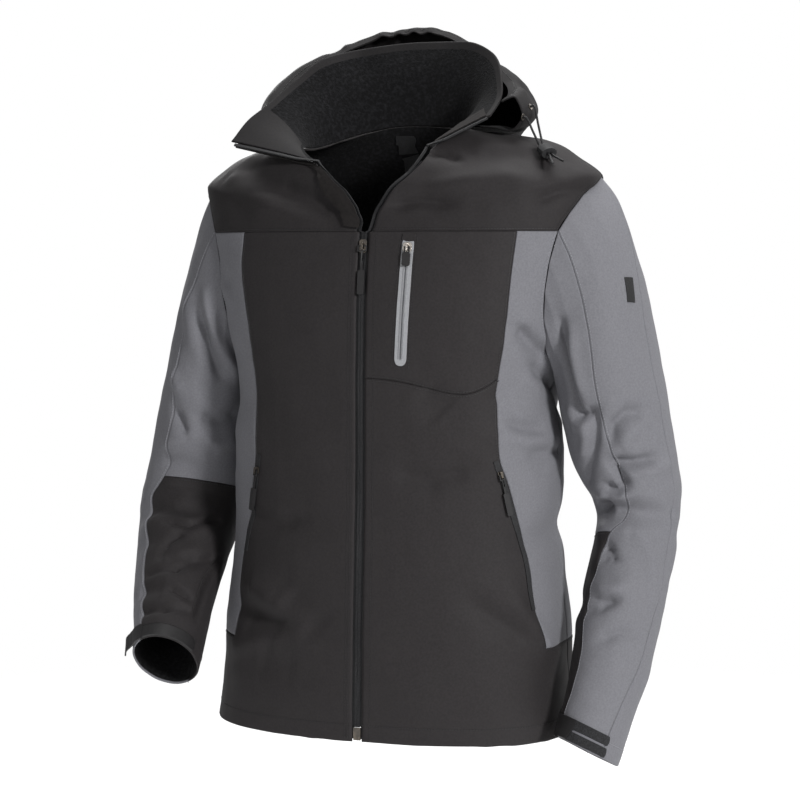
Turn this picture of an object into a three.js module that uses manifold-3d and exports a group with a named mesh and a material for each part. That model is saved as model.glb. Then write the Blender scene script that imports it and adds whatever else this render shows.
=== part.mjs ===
// Hooded softshell jacket, worn open at the neck: millimetres, +Z up, front faces -Y, wearer's left is +X.
// The origin is the middle of the neck opening at the height of the shoulders' neck points.
import * as THREE from 'three';
import { mergeVertices } from 'three/addons/utils/BufferGeometryUtils.js';
import Module from 'manifold-3d';

const wasm = await Module();
wasm.setup();

// Driving dimensions of the cloth
const CLOTH = 2.0;
const COLLAR_CLOTH = 3.0;
const SEAM_GAP = 0.3;
const LIFT = 0.35;

// Driving dimensions of the trims
const FRONT_EDGE = 5.6;
const COIL_HALF = 3.1;
const COIL_DEPTH = 2.0;
const COIL_SINK = 1.3;
const TAPE_WIDTH = 13;
const TAPE_CLOTH = 0.8;
const TAPE_SLACK = 0.85;
const SEAM_SPREAD = [-2.3, -2.3];
const COLLAR_SPREAD = 0.2;
const FLAP_WIDTH = 14;
const FLAP_OVERHANG = 3.4;
const FLAP_CLOTH = 1.6;
const FLAP_LIFT = 2.0;
const FLAP_WAIST = [0.4, 0.75, 0.88, 0.82, 0.4];
const CORD_RADIUS = 1.3;
const CORD_SIDES = 8;
const EYELET = { outer: 3.9, inner: 1.9, height: 0.9 };
const LOCK = { long: 9.5, short: 6.5, depth: 13, bore: 1.7, spread: 4.4, rest: 2.2 };
const BAR_HALF = 0.62;
const BAIL = { reach: 3.0, leg: 0.9, room: 2.4, width: 2.4 };

const COLOURS = {
  black: { color: 0x323031, roughness: 0.85 },
  yoke: { color: 0x2d2b2c, roughness: 0.85 },
  grey: { color: 0x84878b, roughness: 0.85 },
  lightGrey: { color: 0xa6a8ac, roughness: 0.7 },
  fleece: { color: 0x1e1e20, roughness: 0.95 },
  facing: { color: 0x2b2725, roughness: 0.8 },
  tape: { color: 0x1c1c1e, roughness: 0.6 },
  metal: { color: 0x4a4a4c, roughness: 0.35, metalness: 0.9 },
  rubber: { color: 0x202022, roughness: 0.5 },
};

// Torso rings up to the armpit and chest, one row per level: half width, then y of side, front and back
const BODY_RINGS = [
  { level: -680, width: 213, side: -10, front: -151, back: 124, square: 2.5 },
  { level: -640, width: 208, side: -10, front: -151, back: 124, square: 2.5 },
  { level: -600, width: 204.5, side: -9, front: -150, back: 123, square: 2.5 },
  { level: -560, width: 203, side: -8, front: -149, back: 121, square: 2.5 },
  { level: -500, width: 196, side: -6, front: -146, back: 112, square: 2.45 },
  { level: -450, width: 193, side: -5, front: -143, back: 104, square: 2.4 },
  { level: -400, width: 194, side: -4, front: -141, back: 101, square: 2.4 },
  { level: -350, width: 194, side: -3, front: -140, back: 105, square: 2.45 },
  { level: -305, width: 187, side: -2, front: -139, back: 112, square: 2.5 },
  { level: -275, width: 189, side: -1, front: -139, back: 116, square: 2.55 },
  { level: -230, width: 200, side: 0, front: -138.5, back: 118, square: 2.6 },
  { level: -160, width: 215, side: 0, front: -133, back: 118, square: 2.6 },
];

// Yoke rings, fanning from level at the chest to the neck seam: side points of the left and right shoulder
const YOKE_RINGS = [
  { level: -113, lx: 224, ly: 0, lz: -113, rx: 224, ry: 0, rz: -113, fy: -125, fz: -113, by: 112, bz: -113, square: 2.6 },
  { level: -92, lx: 229, ly: 1, lz: -92, rx: 229, ry: 1, rz: -93, fy: -124, fz: -104, by: 110, bz: -99, square: 2.45 },
  { level: -72, lx: 234, ly: 3, lz: -71, rx: 234, ry: 3, rz: -74, fy: -123, fz: -95, by: 106, bz: -84, square: 2.3 },
  { level: -52, lx: 237, ly: 5, lz: -51, rx: 238, ry: 5, rz: -57, fy: -121, fz: -86, by: 100, bz: -68, square: 2.2 },
  { level: -40, lx: 214, ly: 5, lz: -31, rx: 213, ry: 3, rz: -36, fy: -120, fz: -79, by: 90, bz: -50, square: 2.2 },
  { level: -30, lx: 186, ly: 4, lz: -13, rx: 188, ry: -3, rz: -22, fy: -118.5, fz: -71.5, by: 80, bz: -33, square: 2.2 },
  { level: -20, lx: 154, ly: 2, lz: -5, rx: 160, ry: -12, rz: -15, fy: -117, fz: -64, by: 70, bz: -17, square: 2.2 },
  { level: -10, lx: 119, ly: -2, lz: 0, rx: 131, ry: -25, rz: -14, fy: -115.5, fz: -56.5, by: 59, bz: -2, square: 2.2 },
  { level: 0, lx: 84, ly: -6, lz: 4, rx: 102, ry: -38, rz: -16, fy: -114, fz: -49, by: 47, bz: 13, square: 2.2 },
];

// Levels of the grid rows: hem, side panel's foot, pocket seam, armpit, yoke seam, shoulder point and neck
const HEM = -680;
const SIDE_FOOT = -577;
const ARMPIT = -275;
const YOKE = -113;
const SHOULDER = -52;
const NECK = 0;
const ROW_LEVELS = [
  HEM, -650, -615, SIDE_FOOT, -545, -512, -478, -444, -410, -376, -342, -308, ARMPIT,
  -243, -211, -179, -147, YOKE, -92, -72, SHOULDER, -40, -30, -20, -10, NECK,
];

// Armhole edge on the rings, degrees from the front centre
const ARMHOLE = [
  { level: ARMPIT, front: 90, back: 90 },
  { level: -243, front: 74, back: 104 },
  { level: -211, front: 66.5, back: 111 },
  { level: -179, front: 63, back: 114 },
  { level: -147, front: 62, back: 116 },
  { level: YOKE, front: 63.7, back: 116 },
  { level: -92, front: 68, back: 112 },
  { level: -72, front: 76, back: 104 },
  { level: SHOULDER, front: 90, back: 90 },
];

// Open neck edges of the fronts, degrees from the front centre
const NECK_EDGES = [
  { level: YOKE, left: 0.9, right: 0.9 },
  { level: -92, left: 1.6, right: 0.9 },
  { level: -72, left: 2.4, right: 1.8 },
  { level: SHOULDER, left: 3.6, right: 3.0 },
  { level: -40, left: 5, right: 4.7 },
  { level: -30, left: 7.2, right: 7.2 },
  { level: -20, left: 11.5, right: 12.5 },
  { level: -10, left: 22, right: 21 },
  { level: NECK, left: 47, right: 38 },
];

// Princess seams between the fronts and the grey side panels, x at each level
const FRONT_SEAMS = [
  { level: HEM, left: 196, right: 170 },
  { level: SIDE_FOOT, left: 192, right: 166 },
  { level: -530, left: 184, right: 162 },
  { level: -470, left: 176, right: 155 },
  { level: -430, left: 167, right: 147 },
  { level: -394, left: 159, right: 141 },
  { level: -363, left: 151, right: 137 },
  { level: -295, left: 147, right: 137 },
  { level: -222, left: 157, right: 145 },
  { level: -151, left: 164, right: 155 },
  { level: YOKE, left: 168, right: 153 },
];
const BACK_SEAM_X = { hem: 150, yoke: 140 };

const rad = (degrees) => (degrees * Math.PI) / 180;
const lerp = (a, b, t) => a + (b - a) * t;
const clamp = (x, low, high) => Math.min(high, Math.max(low, x));
const smooth = (x) => {
  const t = clamp(x, 0, 1);
  return t * t * (3 - 2 * t);
};
const V = (x, y, z) => new THREE.Vector3(x, y, z);

// Smooth curve without overshoot through one named column of a table
function track(rows, at, key) {
  const xs = rows.map((row) => row[at]);
  const ys = rows.map((row) => row[key]);
  const secant = ys.slice(1).map((y, k) => (y - ys[k]) / (xs[k + 1] - xs[k]));
  const slope = ys.map((_, k) => {
    if (k === 0) return secant[0];
    if (k === ys.length - 1) return secant[k - 1];
    const [a, b] = [secant[k - 1], secant[k]];
    return a * b <= 0 ? 0 : (2 * a * b) / (a + b);
  });
  return (x) => {
    let k = 0;
    while (k < xs.length - 2 && x > xs[k + 1]) k += 1;
    const width = xs[k + 1] - xs[k];
    const t = clamp((x - xs[k]) / width, 0, 1);
    const [t2, t3] = [t * t, t * t * t];
    return (
      ys[k] * (2 * t3 - 3 * t2 + 1) +
      ys[k + 1] * (3 * t2 - 2 * t3) +
      width * (slope[k] * (t3 - 2 * t2 + t) + slope[k + 1] * (t3 - t2))
    );
  };
}

const TORSO_ROWS = BODY_RINGS.map((ring) => ({
  level: ring.level,
  lx: ring.width,
  ly: ring.side,
  lz: ring.level,
  rx: ring.width,
  ry: ring.side,
  rz: ring.level,
  fy: ring.front,
  fz: ring.level,
  by: ring.back,
  bz: ring.level,
  square: ring.square,
})).concat(YOKE_RINGS);
const ring = {};
for (const key of ['lx', 'ly', 'lz', 'rx', 'ry', 'rz', 'fy', 'fz', 'by', 'bz', 'square']) {
  ring[key] = track(TORSO_ROWS, 'level', key);
}

// Point of the torso without folds: theta 0 is the front centre, 90 the left side, 180 the back centre
function plainTorso(theta, level) {
  const turn = ((((theta + 180) % 360) + 360) % 360) - 180;
  const left = turn >= 0;
  const side = left ? V(ring.lx(level), ring.ly(level), ring.lz(level)) : V(ring.rx(level), ring.ry(level), ring.rz(level));
  const back = Math.abs(turn) > 90;
  const endY = back ? ring.by(level) : ring.fy(level);
  const endZ = back ? ring.bz(level) : ring.fz(level);
  const power = 2 / ring.square(level);
  const c = Math.abs(Math.cos(rad(turn)));
  const s = Math.abs(Math.sin(rad(turn)));
  return V(
    (left ? 1 : -1) * side.x * s ** power,
    side.y + (endY - side.y) * c ** power,
    side.z + (endZ - side.z) * c * c,
  );
}

// Ring angle of a given x on the front or the back
function thetaAtX(x, level, back = false) {
  const width = x >= 0 ? ring.lx(level) : ring.rx(level);
  const s = Math.min(1, (Math.abs(x) / width) ** (ring.square(level) / 2));
  const turn = (Math.asin(s) * 180) / Math.PI;
  return Math.sign(x) * (back ? 180 - turn : turn);
}

// Torso folds: path through x, y, z, half width and depth in millimetres, hollow when negative
const TORSO_FOLDS = [
  { width: 17, depth: -7, path: [[-185, -60, -25], [-120, -100, -65], [-45, -122, -98]] },
  { width: 13, depth: -4, path: [[-200, -45, -50], [-150, -92, -92]] },
  { width: 20, depth: 5, path: [[-190, -60, -45], [-110, -112, -92]] },
  { width: 16, depth: -5, path: [[120, -80, -25], [190, -50, -32]] },
  { width: 18, depth: -6, path: [[172, -100, -225], [205, -55, -262]] },
  { width: 15, depth: 5, path: [[170, -105, -238], [200, -70, -285]] },
  { width: 14, depth: -5, path: [[170, -108, -325], [200, -45, -332]] },
  { width: 15, depth: -5, path: [[162, -112, -356], [200, -40, -372]] },
  { width: 18, depth: -6, path: [[185, -95, -458], [200, 0, -450], [190, 50, -445]] },
  { width: 16, depth: 5, path: [[170, -118, -520], [188, -105, -548], [205, -75, -568], [210, -30, -605]] },
  { width: 22, depth: -6, path: [[72, -140, -285], [98, -138, -312]] },
  { width: 24, depth: -6, path: [[-90, -145, -520], [-40, -150, -560]] },
  { width: 22, depth: -6, path: [[-150, -120, -548], [-100, -140, -568]] },
  { width: 22, depth: -5, path: [[-130, -130, -595], [-75, -145, -605]] },
  { width: 20, depth: 5, path: [[-110, -142, -530], [-60, -148, -560]] },
  { width: 24, depth: -7, path: [[-200, 20, -455], [-150, 80, -440], [-90, 98, -452]] },
  { width: 24, depth: -7, path: [[196, 40, -430], [130, 88, -448], [60, 100, -440]] },
  { width: 26, depth: -6, path: [[-60, 112, -200], [-110, 105, -250], [-150, 85, -300]] },
  { width: 26, depth: -6, path: [[60, 112, -190], [115, 104, -240], [155, 82, -290]] },
  { width: 24, depth: 5, path: [[-70, 104, -400], [60, 104, -385]] },
  { width: 24, depth: -5, path: [[-60, 118, -540], [-150, 100, -560]] },
  { width: 24, depth: -5, path: [[80, 116, -520], [160, 90, -545]] },
];

// Height of all folds near a point: a smooth bell across each path, dying away at its two ends
function foldHeight(point, folds) {
  let height = 0;
  for (const fold of folds) {
    let nearest = Infinity;
    let along = 0;
    const count = fold.path.length - 1;
    for (let k = 0; k < count; k += 1) {
      const a = V(...fold.path[k]);
      const b = V(...fold.path[k + 1]).sub(a);
      const t = clamp(point.clone().sub(a).dot(b) / b.lengthSq(), 0, 1);
      const distance = point.distanceTo(a.addScaledVector(b, t));
      if (distance < nearest) {
        nearest = distance;
        along = (k + t) / count;
      }
    }
    const ends = 0.35 + 0.65 * smooth(4 * Math.min(along, 1 - along) + 0.25);
    height += fold.depth * ends * Math.exp(-((nearest / fold.width) ** 2));
  }
  return height;
}

// Outward unit normal of a surface(u, v) whose u runs anticlockwise seen from above
function normalOf(surface, u, v, du, dv) {
  const alongU = surface(u + du, v).sub(surface(u - du, v));
  const alongV = surface(u, v + dv).sub(surface(u, v - dv));
  return alongU.cross(alongV).normalize();
}

function torso(theta, level) {
  const point = plainTorso(theta, level);
  const height = foldHeight(point, TORSO_FOLDS);
  if (Math.abs(height) < 0.01) return point;
  return point.addScaledVector(normalOf(plainTorso, theta, level, 0.5, 0.5), height);
}

const torsoNormal = (theta, level) => {
  const top = Math.min(level, NECK - 0.6);
  return normalOf(torso, theta, top, 0.6, 0.6);
};

// Grid of surface points and normals; columnOf(i, row) gives the surface's first parameter
function makeGrid(columns, levels, columnOf, surface, normal) {
  const points = [];
  const normals = [];
  for (let i = 0; i <= columns; i += 1) {
    points.push(levels.map((level, j) => surface(columnOf(i, level, j), level, i, j)));
    normals.push(levels.map((level, j) => normal(columnOf(i, level, j), level, i, j)));
  }
  return { columns, rows: levels.length - 1, points, normals };
}

// Closed cloth wall over the cells of a grid that belong to a piece, drawn in by half the seam gap all round
function clothWall(grid, belongs, options = {}) {
  const { thickness = CLOTH, lift = 0, sink = 0, gap = SEAM_GAP, inner = null } = options;
  const inside = (i, j) => i >= 0 && j >= 0 && i < grid.columns && j < grid.rows && belongs(i, j);
  const key = (i, j) => i * 1000 + j;
  const nodes = new Map();
  const edges = [];
  const cells = [];
  const corners = [[0, 0], [1, 0], [1, 1], [0, 1]];
  for (let i = 0; i < grid.columns; i += 1) {
    for (let j = 0; j < grid.rows; j += 1) {
      if (!inside(i, j)) continue;
      cells.push([i, j]);
      const centre = V(0, 0, 0);
      for (const [a, b] of corners) {
        centre.addScaledVector(grid.points[i + a][j + b], 0.25);
        const id = key(i + a, j + b);
        if (!nodes.has(id)) nodes.set(id, { i: i + a, j: j + b, pulls: [] });
      }
      const sides = [[0, -1, 0, 1], [1, 0, 1, 2], [0, 1, 2, 3], [-1, 0, 3, 0]];
      for (const [di, dj, first, second] of sides) {
        if (inside(i + di, j + dj)) continue;
        const start = [i + corners[first][0], j + corners[first][1]];
        const end = [i + corners[second][0], j + corners[second][1]];
        const a = grid.points[start[0]][start[1]];
        const b = grid.points[end[0]][end[1]];
        const line = b.clone().sub(a).normalize();
        const pull = centre.clone().sub(a);
        pull.addScaledVector(line, -pull.dot(line)).normalize();
        nodes.get(key(...start)).pulls.push(pull);
        nodes.get(key(...end)).pulls.push(pull);
        edges.push([key(...start), key(...end)]);
      }
    }
  }
  const positions = [];
  let count = 0;
  for (const node of nodes.values()) {
    const point = grid.points[node.i][node.j].clone();
    const normal = grid.normals[node.i][node.j];
    if (node.pulls.length === 1) point.addScaledVector(node.pulls[0], gap / 2);
    if (node.pulls.length >= 2) {
      const [a, b] = node.pulls;
      point.addScaledVector(a.clone().add(b), gap / 2 / Math.max(0.35, 1 + a.dot(b)));
    }
    const top = lift > 0 ? lift + thickness : -sink;
    const outer = point.clone().addScaledVector(normal, top);
    let under = point.clone().addScaledVector(normal, top - thickness);
    if (inner) under = inner(node.i, node.j, under) || under;
    positions.push(...outer.toArray(), ...under.toArray());
    node.outer = count;
    node.inner = count + 1;
    count += 2;
  }
  const [i0, j0] = cells[Math.floor(cells.length / 2)];
  const across = grid.points[i0 + 1][j0].clone().sub(grid.points[i0][j0]);
  const up = grid.points[i0][j0 + 1].clone().sub(grid.points[i0][j0]);
  const forward = across.cross(up).dot(grid.normals[i0][j0]) > 0;
  const index = [];
  const quad = (a, b, c, d) => {
    if (forward) index.push(a, b, c, a, c, d);
    else index.push(a, c, b, a, d, c);
  };
  for (const [i, j] of cells) {
    const [a, b, c, d] = corners.map(([di, dj]) => nodes.get(key(i + di, j + dj)));
    quad(a.outer, b.outer, c.outer, d.outer);
    quad(a.inner, d.inner, c.inner, b.inner);
  }
  for (const [from, to] of edges) {
    const a = nodes.get(from);
    const b = nodes.get(to);
    quad(b.outer, a.outer, a.inner, b.inner);
  }
  return geometryFrom(positions, index);
}

function geometryFrom(positions, index) {
  const geometry = new THREE.BufferGeometry();
  geometry.setAttribute('position', new THREE.Float32BufferAttribute(positions, 3));
  geometry.setIndex(index);
  return geometry;
}

const jacket = new THREE.Group();

function addPiece(name, geometry, finish) {
  const look = COLOURS[finish];
  const material = new THREE.MeshStandardMaterial({ metalness: 0, ...look });
  const mesh = new THREE.Mesh(geometry, material);
  mesh.name = name;
  jacket.add(mesh);
  return mesh;
}

// Columns of the torso blocks
const FRONT_COLUMNS = 6;
const SIDE_COLUMNS = 4;
const BACK_COLUMNS = 9;
const armFront = track(ARMHOLE, 'level', 'front');
const armBack = track(ARMHOLE, 'level', 'back');
const rowOf = (level) => ROW_LEVELS.indexOf(level);
const inArmhole = (level) => level > ARMPIT && level < SHOULDER;

// Angle of each boundary of a front at a level: centre edge, princess seam and side
function frontBounds(side, level) {
  const edgeKey = side > 0 ? 'left' : 'right';
  const outer = inArmhole(level) ? armFront(level) : 90;
  let edge = Math.abs(thetaAtX(FRONT_EDGE, level));
  if (level >= YOKE) edge = Math.max(edge, track(NECK_EDGES, 'level', edgeKey)(level));
  const seamX = track(FRONT_SEAMS, 'level', edgeKey)(Math.min(level, YOKE));
  const seam = thetaAtX(seamX, Math.min(level, YOKE));
  const blend = smooth((level - YOKE) / (SHOULDER - YOKE));
  return [edge, lerp(seam, edge + (outer - edge) * 0.62, blend), outer];
}

// The chest seam dips between the zip and the princess seam
const CHEST_SEAM = ARMPIT;
const CHEST_DIP = -17;
function dippedLevel(level, share) {
  const near = 1 - Math.abs(level - CHEST_SEAM) / 68;
  if (near <= 0) return level;
  return level + CHEST_DIP * smooth(near) * Math.sin(Math.PI * clamp(share, 0, 1) ** 1.6);
}

function frontGrid(side) {
  const total = FRONT_COLUMNS + SIDE_COLUMNS;
  const columnOf = (i, level) => {
    const [edge, seam, outer] = frontBounds(side, level);
    if (i <= FRONT_COLUMNS) return side * lerp(edge, seam, i / FRONT_COLUMNS);
    return side * lerp(seam, outer, (i - FRONT_COLUMNS) / SIDE_COLUMNS);
  };
  const levelAt = (level, i) => (side > 0 && i <= FRONT_COLUMNS ? dippedLevel(level, i / FRONT_COLUMNS) : level);
  const point = (theta, level, i) => torso(theta, levelAt(level, i));
  const normal = (theta, level, i) => torsoNormal(theta, levelAt(level, i));
  return makeGrid(total, ROW_LEVELS, columnOf, point, normal);
}

function backBounds(level) {
  const outer = inArmhole(level) ? armBack(level) : 90;
  const seamX = lerp(BACK_SEAM_X.hem, BACK_SEAM_X.yoke, clamp((level - HEM) / (YOKE - HEM), 0, 1));
  const seam = thetaAtX(seamX, Math.min(level, YOKE), true);
  const blend = smooth((level - YOKE) / (SHOULDER - YOKE));
  return [outer, lerp(seam, lerp(outer, 180, 0.38), blend)];
}

function backGrid() {
  const total = 2 * SIDE_COLUMNS + BACK_COLUMNS;
  const columnOf = (i, level) => {
    const [outer, seam] = backBounds(level);
    if (i <= SIDE_COLUMNS) return lerp(outer, seam, i / SIDE_COLUMNS);
    if (i >= SIDE_COLUMNS + BACK_COLUMNS) {
      return lerp(360 - seam, 360 - outer, (i - SIDE_COLUMNS - BACK_COLUMNS) / SIDE_COLUMNS);
    }
    return lerp(seam, 360 - seam, (i - SIDE_COLUMNS) / BACK_COLUMNS);
  };
  return makeGrid(total, ROW_LEVELS, columnOf, torso, torsoNormal);
}

const leftGrid = frontGrid(1);
const rightGrid = frontGrid(-1);
const rearGrid = backGrid();

function addTorso() {
  const yokeRow = rowOf(YOKE);
  const footRow = rowOf(SIDE_FOOT);
  const chestRow = rowOf(CHEST_SEAM);
  const isSide = (i, j) => i >= FRONT_COLUMNS && j >= footRow && j < yokeRow;
  const isYoke = (i, j) => j >= yokeRow;
  const isFront = (i, j) => !isSide(i, j) && !isYoke(i, j);
  addPiece('front_left_chest', clothWall(leftGrid, (i, j) => isFront(i, j) && j >= chestRow), 'black');
  addPiece('front_left_lower', clothWall(leftGrid, (i, j) => isFront(i, j) && j < chestRow), 'black');
  addPiece('side_front_left', clothWall(leftGrid, isSide), 'grey');
  addPiece('yoke_front_left', clothWall(leftGrid, isYoke), 'yoke');
  addPiece('front_right', clothWall(rightGrid, isFront), 'black');
  addPiece('side_front_right', clothWall(rightGrid, isSide), 'grey');
  addPiece('yoke_front_right', clothWall(rightGrid, isYoke), 'yoke');
  const last = SIDE_COLUMNS + BACK_COLUMNS;
  const sideBack = (from, to) => (i, j) => i >= from && i < to && j >= footRow && j < yokeRow;
  const backLeft = sideBack(0, SIDE_COLUMNS);
  const backRight = sideBack(last, last + SIDE_COLUMNS);
  addPiece('side_back_left', clothWall(rearGrid, backLeft), 'grey');
  addPiece('side_back_right', clothWall(rearGrid, backRight), 'grey');
  addPiece('yoke_back', clothWall(rearGrid, isYoke), 'yoke');
  const isBack = (i, j) => j < yokeRow && !backLeft(i, j) && !backRight(i, j);
  addPiece('back', clothWall(rearGrid, isBack), 'black');
}

// Sleeve sections from the shoulder to the cuff: outer and inner edge, centre y, half depth,
// forward lean in degrees, and the angles of the outer, front and back seams round the arm
const LEFT_SLEEVE = [
  { at: 0, ox: 237, oz: -51, ix: 190, iz: -275, y: 0, depth: 66, lean: 0, outer: 0, front: 67.5, back: 270 },
  { at: 1, ox: 255, oz: -73, ix: 190.8, iz: -283, y: 1, depth: 68, lean: 0, outer: 4, front: 72, back: 268 },
  { at: 2, ox: 271, oz: -108, ix: 191.3, iz: -291, y: 2, depth: 70, lean: 0, outer: 9, front: 78, back: 266 },
  { at: 3, ox: 284, oz: -152, ix: 192, iz: -301, y: 3, depth: 72, lean: 0, outer: 14, front: 84, back: 264 },
  { at: 4, ox: 294, oz: -200, ix: 193.2, iz: -314, y: 5, depth: 73, lean: -2, outer: 18, front: 88, back: 262 },
  { at: 5, ox: 303, oz: -248, ix: 196, iz: -331, y: 8, depth: 72, lean: -2, outer: 20, front: 90, back: 260 },
  { at: 6, ox: 311, oz: -293, ix: 200, iz: -351, y: 11, depth: 70, lean: -2, outer: 20, front: 90, back: 258 },
  { at: 7, ox: 318, oz: -335, ix: 207, iz: -375, y: 14, depth: 66, lean: -2, outer: 20, front: 89, back: 256 },
  { at: 8, ox: 324, oz: -372, ix: 217, iz: -398, y: 17, depth: 61, lean: 0, outer: 21, front: 88, back: 254 },
  { at: 9, ox: 328, oz: -404, ix: 228, iz: -418, y: 19, depth: 57, lean: 2, outer: 22, front: 89, back: 252 },
  { at: 10, ox: 328, oz: -433, ix: 233, iz: -438, y: 19, depth: 56, lean: 5, outer: 24, front: 96, back: 252 },
  { at: 11, ox: 325, oz: -462, ix: 232, iz: -460, y: 14, depth: 55, lean: 14, outer: 24, front: 110, back: 252 },
  { at: 12, ox: 321, oz: -495, ix: 229, iz: -487, y: 3, depth: 54, lean: 19, outer: 23, front: 126, back: 252 },
  { at: 13, ox: 316, oz: -531, ix: 224, iz: -519, y: -10, depth: 52, lean: 20, outer: 22, front: 132, back: 252 },
  { at: 14, ox: 310, oz: -569, ix: 221, iz: -555, y: -24, depth: 50, lean: 20, outer: 25, front: 134, back: 252 },
  { at: 15, ox: 305, oz: -606, ix: 219, iz: -590, y: -39, depth: 48, lean: 20, outer: 32, front: 128, back: 252 },
  { at: 16, ox: 295, oz: -640, ix: 217, iz: -624, y: -54, depth: 46, lean: 20, outer: 39, front: 132, back: 252 },
  { at: 17, ox: 287, oz: -672, ix: 214, iz: -652, y: -70, depth: 44, lean: 20, outer: 45, front: 140, back: 252 },
  { at: 18, ox: 280, oz: -700, ix: 212, iz: -673, y: -85, depth: 43, lean: 20, outer: 48, front: 146, back: 252 },
];
const RIGHT_SLEEVE = [
  { at: 0, ox: 238, oz: -57, ix: 190, iz: -275, y: 0, depth: 66, lean: 0, outer: 0, front: 67.5, back: 270 },
  { at: 1, ox: 248, oz: -80, ix: 190.8, iz: -283, y: 1, depth: 68, lean: 0, outer: 0, front: 66, back: 268 },
  { at: 2, ox: 257, oz: -118, ix: 191.3, iz: -291, y: 2, depth: 70, lean: 0, outer: 0, front: 64, back: 266 },
  { at: 3, ox: 268, oz: -162, ix: 192, iz: -301, y: 4, depth: 72, lean: -2, outer: 0, front: 63, back: 264 },
  { at: 4, ox: 280, oz: -210, ix: 193.2, iz: -314, y: 6, depth: 73, lean: -2, outer: 0, front: 66, back: 262 },
  { at: 5, ox: 292, oz: -257, ix: 196, iz: -331, y: 8, depth: 72, lean: -2, outer: 0, front: 69, back: 260 },
  { at: 6, ox: 303, oz: -302, ix: 198, iz: -351, y: 11, depth: 70, lean: -2, outer: 0, front: 72, back: 258 },
  { at: 7, ox: 314, oz: -343, ix: 199.5, iz: -376, y: 13, depth: 68, lean: 0, outer: 0, front: 74, back: 256 },
  { at: 8, ox: 322, oz: -380, ix: 201, iz: -398, y: 14, depth: 66, lean: 2, outer: 0, front: 75, back: 254 },
  { at: 9, ox: 329, oz: -412, ix: 204, iz: -420, y: 12, depth: 64, lean: 12, outer: 0, front: 74, back: 252 },
  { at: 10, ox: 332, oz: -437, ix: 206, iz: -440, y: 6, depth: 63, lean: 25, outer: 0, front: 70, back: 250 },
  { at: 11, ox: 331, oz: -456, ix: 208, iz: -456, y: -5, depth: 62, lean: 38, outer: 0, front: 65, back: 248 },
  { at: 12, ox: 326, oz: -473, ix: 209, iz: -470, y: -20, depth: 60, lean: 49, outer: 0, front: 60, back: 246 },
  { at: 13, ox: 317, oz: -495, ix: 206, iz: -491, y: -46, depth: 56, lean: 50, outer: 0, front: 58, back: 244 },
  { at: 14, ox: 307, oz: -517, ix: 202, iz: -512, y: -72, depth: 52, lean: 50, outer: 0, front: 58, back: 242 },
  { at: 15, ox: 296, oz: -539, ix: 198, iz: -534, y: -98, depth: 49, lean: 50, outer: 0, front: 58, back: 242 },
  { at: 16, ox: 284, oz: -561, ix: 193, iz: -555, y: -124, depth: 46, lean: 50, outer: 0, front: 58, back: 242 },
  { at: 17, ox: 273, oz: -581, ix: 188, iz: -576, y: -148, depth: 44, lean: 50, outer: 0, front: 58, back: 242 },
  { at: 18, ox: 263, oz: -601, ix: 184, iz: -596, y: -172, depth: 43, lean: 50, outer: 0, front: 58, back: 242 },
];

// Sleeve folds, as the torso's but with x counted outward on either side
const LEFT_SLEEVE_FOLDS = [
  { width: 15, depth: -6, path: [[196, -45, -235], [198, -50, -300], [210, -45, -345]] },
  { width: 12, depth: -6, path: [[305, -25, -330], [290, -50, -345]] },
  { width: 11, depth: -8, path: [[236, -20, -428], [262, -38, -420], [290, -36, -424], [322, -10, -430]] },
  { width: 13, depth: 6, path: [[240, -25, -408], [285, -40, -402], [320, -15, -405]] },
  { width: 12, depth: 6, path: [[238, -25, -446], [285, -38, -448]] },
  { width: 12, depth: -6, path: [[240, -30, -500], [262, -42, -492], [285, -40, -494]] },
  { width: 11, depth: -5, path: [[238, -32, -520], [262, -42, -518]] },
  { width: 11, depth: -6, path: [[225, -25, -532], [255, -44, -534]] },
  { width: 12, depth: -5, path: [[238, -42, -572], [272, -44, -560]] },
  { width: 14, depth: 5, path: [[230, -40, -552], [282, -42, -545]] },
  { width: 16, depth: -7, path: [[250, 75, -400], [300, 65, -430], [325, 30, -450]] },
  { width: 16, depth: 6, path: [[245, 72, -440], [300, 60, -465]] },
  { width: 14, depth: -5, path: [[230, 60, -520], [290, 50, -540]] },
];
const RIGHT_SLEEVE_FOLDS = [
  { width: 16, depth: -7, path: [[262, -50, -200], [235, -62, -262], [215, -50, -305]] },
  { width: 15, depth: 6, path: [[255, -62, -178], [245, -66, -225], [222, -58, -290]] },
  { width: 14, depth: 5, path: [[240, -60, -345], [285, -50, -368]] },
  { width: 13, depth: -6, path: [[230, -60, -392], [290, -48, -384]] },
  { width: 12, depth: -7, path: [[222, -60, -440], [262, -72, -436], [300, -60, -444]] },
  { width: 12, depth: 6, path: [[225, -66, -458], [290, -72, -458]] },
  { width: 11, depth: -6, path: [[235, -92, -474], [290, -88, -480]] },
  { width: 11, depth: -6, path: [[212, -100, -492], [262, -122, -484]] },
  { width: 11, depth: -5, path: [[235, -150, -520], [275, -142, -528]] },
  { width: 16, depth: -7, path: [[240, 72, -420], [300, 65, -440], [330, 20, -455]] },
  { width: 16, depth: 6, path: [[235, 60, -470], [300, 50, -480]] },
];

const SLEEVE_GAP = 0.4;
const SLEEVE_COLUMNS = 16;
const FRONT_SEAM_COLUMN = 3;
const UNDERARM_COLUMN = 8;
const BACK_SEAM_COLUMN = 12;
const ARMHOLE_LEVELS = ROW_LEVELS.filter((level) => level >= ARMPIT && level <= SHOULDER);

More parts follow.
